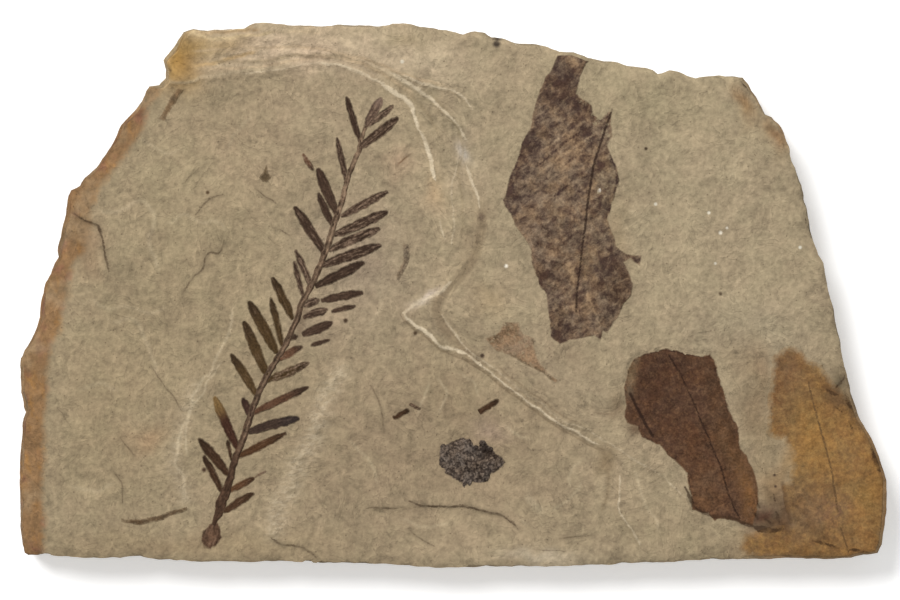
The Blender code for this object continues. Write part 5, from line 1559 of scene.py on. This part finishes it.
def leaf_material(name, rib_colour, rib_width=0.3, rag=0.15, softness=0.5, show=1.0, speckle_size=1.1,
                  crisp=0.24, grain_turn=0.0, stretch=1.0, contrast=1.0, roughness=0.72, inset=0.0):
    """The film of leaves, seeds and scraps: two speckled tones, ribs, bare spots and a torn edge."""
    material, nodes, shader = start_material(name)
    place = nodes.place()
    stone = shale_under(nodes, place)
    left = use_group(nodes, "Torn film", {
        "Place": place, "Edge": nodes.total(nodes.mark("edge"), -inset), "Rag": rag, "Softness": softness,
    })["Left"]
    along = nodes.mapped(place, grain_turn, (stretch, 1.0, 1.0))
    speckle = use_group(nodes, "Speckle", {
        "Place": along, "Amount": nodes.mark("fade"), "Size": speckle_size, "Softness": crisp,
    })["Share"]
    bare = use_group(nodes, "Speckle", {
        "Place": nodes.mapped(place, 40.0), "Amount": nodes.mark("bare"), "Size": 1.3, "Softness": 0.12,
    })["Share"]
    grain = nodes.noise(place, 0.5, 3.0, 0.7)
    mottle = nodes.noise(place, 2.6, 4.0, 0.65, 0.5)
    cloud = nodes.noise(place, 9.0, 4.0, 0.6, 0.5)
    shade = nodes.total(
        nodes.times(grain, contrast), nodes.times(mottle, 0.9 * contrast), nodes.times(cloud, 0.5), 1.0)
    colour = nodes.mix(speckle, nodes.mark("paint", "Color"), nodes.mark("pale", "Color"))
    warm = nodes.ramp(nodes.noise(nodes.mapped(place, 65.0), 4.0, 4.0, 0.65), -0.14, 0.14)
    tone = nodes.mix(warm, (0.96, 1.0, 1.04, 1.0), (1.05, 1.0, 0.93, 1.0))
    colour = nodes.mix(1.0, colour, tone, "MULTIPLY")
    colour = nodes.scaled(colour, shade)
    rib_edge = nodes.total(nodes.mark("rib"), nodes.times(grain, 0.25))
    rib = nodes.ramp(rib_edge, rib_width - 0.14, rib_width + 0.14, 1.0, 0.0)
    colour = nodes.mix(nodes.times(rib, 0.85), colour, (*rib_colour, 1.0))
    kept = nodes.times(left, nodes.math("SUBTRACT", 1.0, nodes.times(bare, 0.9)))
    kept = nodes.math("MAXIMUM", kept, nodes.times(rib, left))
    colour = nodes.mix(nodes.times(kept, show), stone["Colour"], colour)
    # The rock's dark lines over the film, with painted shadow under overhanging edges among them
    colour = nodes.mix(stone["Dark"], colour, (*CRACK, 1.0))
    film_height = nodes.total(
        nodes.times(grain, 0.09), nodes.times(mottle, 0.2), nodes.times(speckle, -0.03),
        nodes.times(rib, -0.06), 0.04)
    height = nodes.blend_values(kept, stone["Height"], film_height)
    roughness = nodes.blend_values(kept, stone["Roughness"], roughness)
    finish_material(nodes, shader, colour, height, roughness, FILM_GLOSS)
    return material


# Broad leaves: each list of patches holds middle, half sizes, turn, value or colour, strength

DARK_LEAF_PAINT = [
    (37, 0, 5, 7, 0, (66, 50, 39), 0.7), (24, 8, 6, 8, 0, (76, 56, 44), 0.6),
]
DARK_LEAF_PALE = [
    (36.5, 25, 3, 9, 0, (150, 130, 102), 0.8), (32, 8, 3, 6, 0, (144, 120, 92), 0.8),
    (19, 12, 3, 6, 0, (158, 134, 110), 0.8),
]
DARK_LEAF_FADE = [
    (25, 49, 6, 8, 0, 0.36, 1), (25.2, 54.2, 2, 1.4, 0, 0.46, 0.8), (22.6, 40, 4.6, 3.6, 0, 0.5, 0.8),
    (30, 42, 3, 3, 0, 0.36, 0.7), (31, 19, 2, 4, 0, 0.52, 0.8), (30.6, 30, 1.6, 2.2, 0, 0.4, 0.8),
    (36.2, 8, 2.2, 3, 0, 0.3, 0.8), (27, 33, 8, 3.2, 40, 0.57, 0.9), (24.6, 30.6, 3.4, 2, 40, 0.6, 0.8),
    (17.8, 34.5, 3.8, 2.6, 30, 0.31, 0.9), (14.6, 25, 2.8, 6, 0, 0.32, 0.9),
    (18.5, 22, 3, 4, 20, 0.46, 0.7), (24, 20, 5, 4, 20, 0.54, 0.8), (25, 12, 4.5, 6, 0, 0.46, 0.8),
    (32.6, 10, 1.6, 5.5, 0, 0.55, 0.9), (36.3, 26, 2.2, 7, 0, 0.47, 1),
    (34.6, 38.5, 2.4, 4.4, 0, 0.44, 0.9), (18.4, 12, 1.8, 5, 15, 0.56, 0.9),
    (37.8, 0, 3.6, 6.5, 0, 0.38, 0.9), (26, -6, 4.5, 4, 0, 0.45, 0.9), (24.8, -9, 2.4, 1.4, 0, 0.28, 0.9),
    (20.7, 3.4, 1.4, 2, 0, 0.22, 0.9), (27.9, 5.2, 0.6, 1.6, 10, 0.7, 0.8),
    (31, -0.7, 0.6, 0.9, 0, 0.7, 0.8), (28, 54.3, 0.9, 0.8, 0, 0.75, 0.8),
    (35.1, 30.8, 1.2, 1.1, 0, 0.28, 0.9), (31.6, 38.4, 1.6, 2, 0, 0.3, 0.8),
    (29.4, 44.4, 1.6, 1.2, -40, 0.28, 0.8),
]
# Veins and dark edges: half width, value, strength, then the line
DARK_LEAF_VEINS = [
    (0.2, 0.2, 0.6, [(32.8, 39.5), (26, 35.2), (18.9, 29)]),
    (0.18, 0.3, 0.5, [(33, 35.4), (27, 31), (20.5, 25.5)]), (0.2, 0.2, 0.6, [(27.9, 26.7), (23, 22.2)]),
    (0.18, 0.32, 0.5, [(31.8, 24.5), (26, 19.5), (20, 14.5)]),
    (0.2, 0.8, 0.7, [(33.2, 37.4), (27, 33.4), (20, 28)]),
    (0.18, 0.8, 0.5, [(32.4, 41.4), (27, 37.6), (21, 33.4)]),
    (0.18, 0.75, 0.5, [(30.4, 27.6), (26, 23.8), (21.6, 19.4)]),
    (0.18, 0.32, 0.5, [(30.8, 16), (25, 11.5), (20.5, 7.5)]), (0.2, 0.3, 0.5, [(31.6, 19), (35, 21.6)]),
    (0.25, 0.2, 0.6, [(36.2, 33.4), (38, 29), (38.2, 26), (37, 22.5)]),
    (0.25, 0.24, 0.6, [(36.3, 19.4), (35.6, 17)]),
    (0.5, 0.22, 0.7, [(17, 36.6), (15, 31.4), (13.4, 27.6), (12.3, 23.6)]),
    (0.2, 0.8, 0.6, [(34.3, -7.6), (33.4, -4.6), (32, -2), (30.6, 1.4)]),
    (0.2, 0.85, 0.7, [(28.4, 7.4), (27.6, 5), (28, 2.4)]),
]
DARK_LEAF_BARE = [
    (34.4, 41.4, 2.2, 2.2, 0, 0.56, 0.9), (33.6, 37.6, 2.4, 2.6, 0, 0.44, 0.8),
    (30.8, 44.8, 1.6, 1.2, 0, 0.54, 0.9), (36.6, 37, 1.4, 3, 0, 0.54, 0.8),
    (36.8, 24.5, 1.6, 5.5, 0, 0.44, 0.9), (18, 12, 1.4, 4.6, 15, 0.46, 0.8),
    (24.8, 30.8, 3, 1.6, 40, 0.4, 0.8), (31.8, -2, 0.6, 4, 22, 0.42, 0.7), (34.3, 24.2, 0.6, 0.6, 0, 1, 1),
]
BROWN_LEAF_PAINT = [
    (48, -24, 7, 9, 0, (76, 53, 40), 0.9), (47.6, -30.4, 3, 2.6, 0, (68, 48, 37), 0.8),
    (55.6, -37, 4.4, 8, 20, (82, 56, 40), 0.9), (60.4, -22, 2.6, 9, 18, (74, 53, 38), 0.85),
    (64.5, -36, 2.6, 8, 16, (92, 66, 43), 0.8), (68, -45.5, 2.4, 6, 12, (124, 88, 54), 0.85),
    (58, -46, 4, 5, 0, (86, 62, 44), 0.7), (41.2, -18.6, 1.4, 3.4, 0, (118, 100, 77), 0.9),
    (41.4, -28.6, 1.8, 3.4, 30, (82, 58, 42), 0.85),
]
BROWN_LEAF_FADE = [
    (60.4, -24, 3, 9, 18, 0.42, 0.8), (57, -45, 5, 5, 0, 0.56, 0.8), (48, -22, 6, 9, 0, 0.36, 0.8),
]
OCHRE_LEAF_PAINT = [
    (77, -18, 5, 8, 0, (104, 74, 52), 0.85), (83.5, -31, 5, 9, 12, (122, 88, 44), 0.85),
    (92.5, -38, 4, 6, 0, (120, 88, 56), 0.85), (95, -46, 3.6, 4, 0, (124, 94, 48), 0.8),
    (93, -54, 4, 3.4, 0, (112, 80, 46), 0.8), (83, -50, 5, 6, 0, (104, 80, 58), 0.85),
    (88, -49, 3, 3, 0, (110, 80, 66), 0.6), (75.5, -52, 3, 3, 0, (84, 64, 50), 0.9),
    (79.8, -47.6, 2.6, 5, 0, (88, 66, 46), 0.9), (92.2, -27.4, 1.8, 3, 20, (84, 66, 46), 0.85),
    (71, -58, 6, 3, 0, (106, 78, 53), 0.85), (89.6, -23, 3, 4, 20, (90, 68, 48), 0.85),
    (79, -40, 2.4, 4, 0, (118, 94, 60), 0.7), (86.4, -17.6, 2, 1.6, -30, (120, 96, 66), 0.7),
    (75, -23, 2, 7, 0, (98, 67, 41), 0.85),
]
OCHRE_LEAF_PALE = [
    (77, -19, 5, 8, 0, (140, 108, 74), 0.8), (84.5, -30, 5, 9, 12, (156, 118, 66), 0.8),
    (83, -50, 5, 6, 0, (132, 104, 76), 0.8), (92, -55, 5, 4, 0, (146, 110, 66), 0.8),
    (89.6, -23, 3, 4, 20, (126, 100, 70), 0.8),
]
OCHRE_LEAF_FADE = [
    (77, -20, 5, 6, 0, 0.4, 0.8), (86, -36, 6, 8, 0, 0.54, 0.8), (82, -51, 5, 6, 0, 0.42, 0.8),
    (88.6, -23, 3, 4, 20, 0.34, 0.8),
]


def leaf_marks(paint_base, pale_base, paints=(), pales=(), fade=0.4, fades=(), veins=(), bare=0.0, bares=(),
               ribs=()):
    """Makes the function that gives the own marks of a broad leaf, the seeds or a scrap."""
    ribs = [(thinner, drawn(way, LINE_STEP, 0.12)) for thinner, way in ribs]
    veins = [(half, value, strength, drawn(way, LINE_STEP, 0.15)) for half, value, strength, way in veins]

    def marks_of(points):
        count = len(points)
        faded = drawn_over(points, laid_over(points, np.full((count, 1), fade), fades), veins)
        rib = np.full(count, 9.0)
        for thinner, line in ribs:
            rib = np.minimum(rib, nearest(points, line)[0] + thinner)
        return {
            "paint": laid_over(points, np.tile(held(paint_base), (count, 1)), paints),
            "pale": laid_over(points, np.tile(held(pale_base), (count, 1)), pales),
            "fade": faded[:, 0],
            "bare": laid_over(points, np.full((count, 1), bare), bares)[:, 0],
            "rib": rib,
        }
    return marks_of


# Settings

class PlateLooks(bpy.types.PropertyGroup):
    """Colours of the plate."""

    stone: bpy.props.FloatVectorProperty(
        name="Stone", description="Main colour of the rock", subtype="COLOR", default=STONE, min=0, max=1)
    pale_stone: bpy.props.FloatVectorProperty(
        name="Pale stone", description="Colour of the fresh broken lips", subtype="COLOR",
        default=PALE_STONE, min=0, max=1)
    rust: bpy.props.FloatVectorProperty(
        name="Rust", description="Stain of the broken left rim", subtype="COLOR", default=RUST,
        min=0, max=1)
    # Also the colour of the painted shadow lines under overhanging edges
    crack: bpy.props.FloatVectorProperty(
        name="Crack", description="Colour in cracks and of dark grit", subtype="COLOR", default=CRACK,
        min=0, max=1)


class StageSettings(bpy.types.PropertyGroup):
    """Camera and light of the stage."""

    view_width: bpy.props.FloatProperty(
        name="View width", description="Width of the plate's plane that the camera sees", unit="LENGTH",
        default=0.20785, min=0.05)
    view_distance: bpy.props.FloatProperty(
        name="View distance", description="Distance of the camera from the plate's face", unit="LENGTH",
        default=1.6, min=0.3)
    key_power: bpy.props.FloatProperty(
        name="Key power", description="Strength of the main soft light", default=2.5, min=0)
    floor_glow: bpy.props.FloatProperty(
        name="Floor glow", description="Light of the floor itself, which keeps its shadows pale",
        default=0.34, min=0)
    sky: bpy.props.FloatProperty(
        name="Sky", description="Strength of the even light from all round", default=0.44, min=0)


# Operators

class FOSSIL_OT_rock(bpy.types.Operator):
    """Makes the plate of rock"""

    bl_idname = "fossil.rock"
    bl_label = "Rock"

    def execute(self, context):
        looks = context.scene.plate_looks
        build_shale_group(looks)
        build_tear_group()
        build_speckle_group()
        vertices, faces, marks = slab_mesh()
        piece = new_piece("shale_rock", vertices, faces, marks, shale_material())
        on_plate(piece, "shale_slab")
        return {"FINISHED"}


class FOSSIL_OT_shoot(bpy.types.Operator):
    """Makes the conifer shoot, its loose leaflets and the loose needles"""

    bl_idname = "fossil.shoot"
    bl_label = "Conifer shoot"

    def execute(self, context):
        material = leaflet_material()
        parts = [add_leaflet(*leaflet) for leaflet in LEAFLETS]
        parts += [add_stem(), add_knob()]
        on_plate(fibre_piece("shoot_film", parts, material), "conifer_shoot")
        for number, bit in enumerate(LEAFLET_BITS, 1):
            piece = fibre_piece(f"leaflet_film_{number}", [add_leaflet(*bit)], material)
            on_plate(piece, f"leaflet_bit_{number}")
        for number, bit in enumerate(NEEDLE_BITS, 1):
            piece = fibre_piece(f"needle_film_{number}", [add_leaflet(*bit, NEEDLE_HALF_WIDTHS)], material)
            on_plate(piece, f"needle_bit_{number}")
        return {"FINISHED"}


class FOSSIL_OT_leaves(bpy.types.Operator):
    """Makes the three broad leaves"""

    bl_idname = "fossil.leaves"
    bl_label = "Broad leaves"

    def execute(self, context):
        material = leaf_material(
            "Dark leaf carbon", paint(48, 35, 28), 0.28, rag=0.25, speckle_size=1.5, crisp=0.25,
            grain_turn=-38.0, stretch=0.8, contrast=1.4)
        marks = leaf_marks(
            (70, 53, 46), (152, 128, 102), DARK_LEAF_PAINT, DARK_LEAF_PALE, 0.45, DARK_LEAF_FADE,
            DARK_LEAF_VEINS, 0.08, DARK_LEAF_BARE, DARK_LEAF_RIBS)
        film = add_film("dark_leaf_film", DARK_LEAF, material, marks, relief=0.03)
        on_plate(film, "dark_leaf")
        material = leaf_material(
            "Brown leaf carbon", paint(44, 30, 23), 0.2, rag=0.25, crisp=0.22, contrast=1.6, roughness=0.66)
        marks = leaf_marks(
            (76, 53, 40), (110, 81, 58), BROWN_LEAF_PAINT, (), 0.4, BROWN_LEAF_FADE, ribs=BROWN_LEAF_RIBS)
        on_plate(add_film("brown_leaf_film", BROWN_LEAF, material, marks), "brown_leaf")
        material = leaf_material(
            "Ochre leaf film", paint(84, 61, 38), 0.2, rag=0.7, softness=2.2, show=0.94, speckle_size=1.5,
            contrast=1.2, roughness=0.82, inset=0.55)
        marks = leaf_marks(
            (114, 82, 50), (151, 115, 68), OCHRE_LEAF_PAINT, OCHRE_LEAF_PALE, 0.48, OCHRE_LEAF_FADE,
            ribs=OCHRE_LEAF_RIBS)
        on_plate(add_film("ochre_leaf_film", OCHRE_LEAF, material, marks), "ochre_leaf")
        return {"FINISHED"}


class FOSSIL_OT_seeds(bpy.types.Operator):
    """Makes the seed cluster"""

    bl_idname = "fossil.seeds"
    bl_label = "Seed cluster"

    def execute(self, context):
        material = leaf_material(
            "Seed carbon", paint(50, 44, 42), rag=0.5, softness=0.4, speckle_size=1.0, crisp=0.14,
            contrast=2.0, roughness=0.8)
        marks = leaf_marks(
            (60, 51, 45), (116, 102, 90), [(8.3, -35.8, 1.8, 1.4, 0, (52, 42, 36), 0.9)], (),
            0.46, [(1.6, -37.6, 2.6, 2.4, 0, 0.54, 0.9), (10, -39, 1.6, 1.6, 0, 0.5, 0.8),
                   (8.3, -35.8, 1.6, 1.2, 0, 0.3, 0.9)])
        film = add_film("seed_lumps", SEED_CLUSTER, material, marks, step=0.3, relief=0.13, lump=1.1)
        vertices, faces = seed_crowns()
        own = film_marks(vertices[:, :2], np.full(len(vertices), 2.0), marks(vertices[:, :2]))
        lumps_piece = new_piece("seed_crowns", vertices, faces, own, material)
        select_only(film)
        lumps_piece.select_set(True)
        bpy.ops.object.join()
        on_plate(film, "seed_cluster")
        return {"FINISHED"}


class FOSSIL_OT_scraps(bpy.types.Operator):
    """Makes the small scraps"""

    bl_idname = "fossil.scraps"
    bl_label = "Scraps"

    def execute(self, context):
        material = leaf_material(
            "Scrap film", paint(80, 60, 45), rag=0.45, softness=0.9, show=0.94, speckle_size=0.8,
            crisp=0.18, contrast=1.6)
        scraps = (
            ("leaf_scrap", LEAF_SCRAP, (96, 78, 58), (144, 118, 93), 0.6, "pink_carbon",
             [(13.5, -7.2, 3.6, 1.6, 0, 0.52, 0.9), (9.6, -10.6, 1.8, 1.6, 0, 0.36, 0.8),
              (16.5, -12, 3, 2.5, -30, 0.68, 0.8)],
             [(0.5, 0.2, 0.7, [(12.6, -13.4), (14, -14.4), (19, -17.2), (24, -20)]),
              (0.45, 0.15, 0.7, [(18.6, -9.6), (20, -13), (21.6, -16.4)])], 0.4),
            ("bark_sliver", BARK_SLIVER, (104, 84, 62), (126, 104, 79), 0.5, "brown_carbon", (), (), 0.2),
            ("bud_scrap", BUD_SCRAP, (88, 71, 50), (112, 93, 68), 0.32, "black_carbon", (), (), 0.1),
            ("stem_scrap", STEM_SCRAP, (84, 70, 58), (138, 120, 98), 0.5, "black_carbon", (), (), 0.3),
            ("rootlet", ROOTLET, (82, 64, 46), (124, 103, 78), 0.36, "leaflet_carbon", (), (), 0.15),
        )
        for name, outline, colour, pale, fade, slot, fades, veins, bare in scraps:
            marks = leaf_marks(colour, pale, fade=fade, fades=fades, veins=veins, bare=bare)
            on_plate(add_film(name + "_film", outline, material, marks, step=0.35), name)
        return {"FINISHED"}


class FOSSIL_OT_stage(bpy.types.Operator):
    """Adds the pale floor, the soft lights and the camera straight above the plate"""

    bl_idname = "fossil.stage"
    bl_label = "Stage"

    def execute(self, context):
        stage = context.scene.stage_settings
        bpy.ops.object.select_all(action="DESELECT")
        bpy.ops.mesh.primitive_plane_add(size=8.0, location=(0.0, 0.0, 0.0))
        floor = bpy.context.active_object
        floor.name = "pale_floor"
        material, _, shader = start_material("Pale floor")
        shader.inputs["Base Color"].default_value = FLOOR
        shader.inputs["Roughness"].default_value = 0.9
        shader.inputs["Emission Color"].default_value = WHITE
        shader.inputs["Emission Strength"].default_value = stage.floor_glow
        floor.data.materials.append(material)
        bpy.ops.object.light_add(type="SUN", location=KEY_PLACE)
        key = bpy.context.active_object
        key.data.energy = stage.key_power
        key.data.angle = KEY_ANGLE
        key.rotation_euler = key.location.to_track_quat("Z", "Y").to_euler()
        world = bpy.data.worlds.new("Studio")
        world.use_nodes = True
        sky = world.node_tree.nodes["Background"]
        sky.inputs["Color"].default_value = WHITE
        sky.inputs["Strength"].default_value = stage.sky
        context.scene.world = world
        context.scene.view_settings.view_transform = "Standard"
        x, y, face = CAMERA_AIM
        bpy.ops.object.camera_add(location=(x, y, face + stage.view_distance))
        camera = bpy.context.active_object
        camera.data.sensor_width = SENSOR
        camera.data.lens = SENSOR * stage.view_distance / stage.view_width
        camera.data.clip_end = 50.0
        context.scene.camera = camera
        return {"FINISHED"}


class FOSSIL_PT_panel(bpy.types.Panel):
    """Lists the plate's colours and the buttons that make its pieces"""

    bl_idname = "FOSSIL_PT_panel"
    bl_label = "Fossil plate"
    bl_space_type = "VIEW_3D"
    bl_region_type = "UI"
    bl_category = "Fossil plate"

    def draw(self, context):
        for settings in (context.scene.plate_looks, context.scene.stage_settings):
            for name in settings.__annotations__:
                self.layout.prop(settings, name)
        for operator in OPERATORS:
            self.layout.operator(operator.bl_idname)


OPERATORS = (
    FOSSIL_OT_rock, FOSSIL_OT_shoot, FOSSIL_OT_leaves, FOSSIL_OT_seeds, FOSSIL_OT_scraps, FOSSIL_OT_stage,
)
CLASSES = (PlateLooks, StageSettings) + OPERATORS + (FOSSIL_PT_panel,)


def register():
    """Registers the settings, the operators and the panel."""
    for one in CLASSES:
        bpy.utils.register_class(one)
    bpy.types.Scene.plate_looks = bpy.props.PointerProperty(type=PlateLooks)
    bpy.types.Scene.stage_settings = bpy.props.PointerProperty(type=StageSettings)


def unregister():
    """Takes the settings, the operators and the panel away again."""
    del bpy.types.Scene.plate_looks
    del bpy.types.Scene.stage_settings
    for one in reversed(CLASSES):
        bpy.utils.unregister_class(one)


def main():
    """Makes the plate and its stage."""
    register()
    bpy.ops.fossil.rock()
    bpy.ops.fossil.shoot()
    bpy.ops.fossil.leaves()
    bpy.ops.fossil.seeds()
    bpy.ops.fossil.scraps()
    bpy.ops.fossil.stage()


if __name__ == "__main__":
    main()
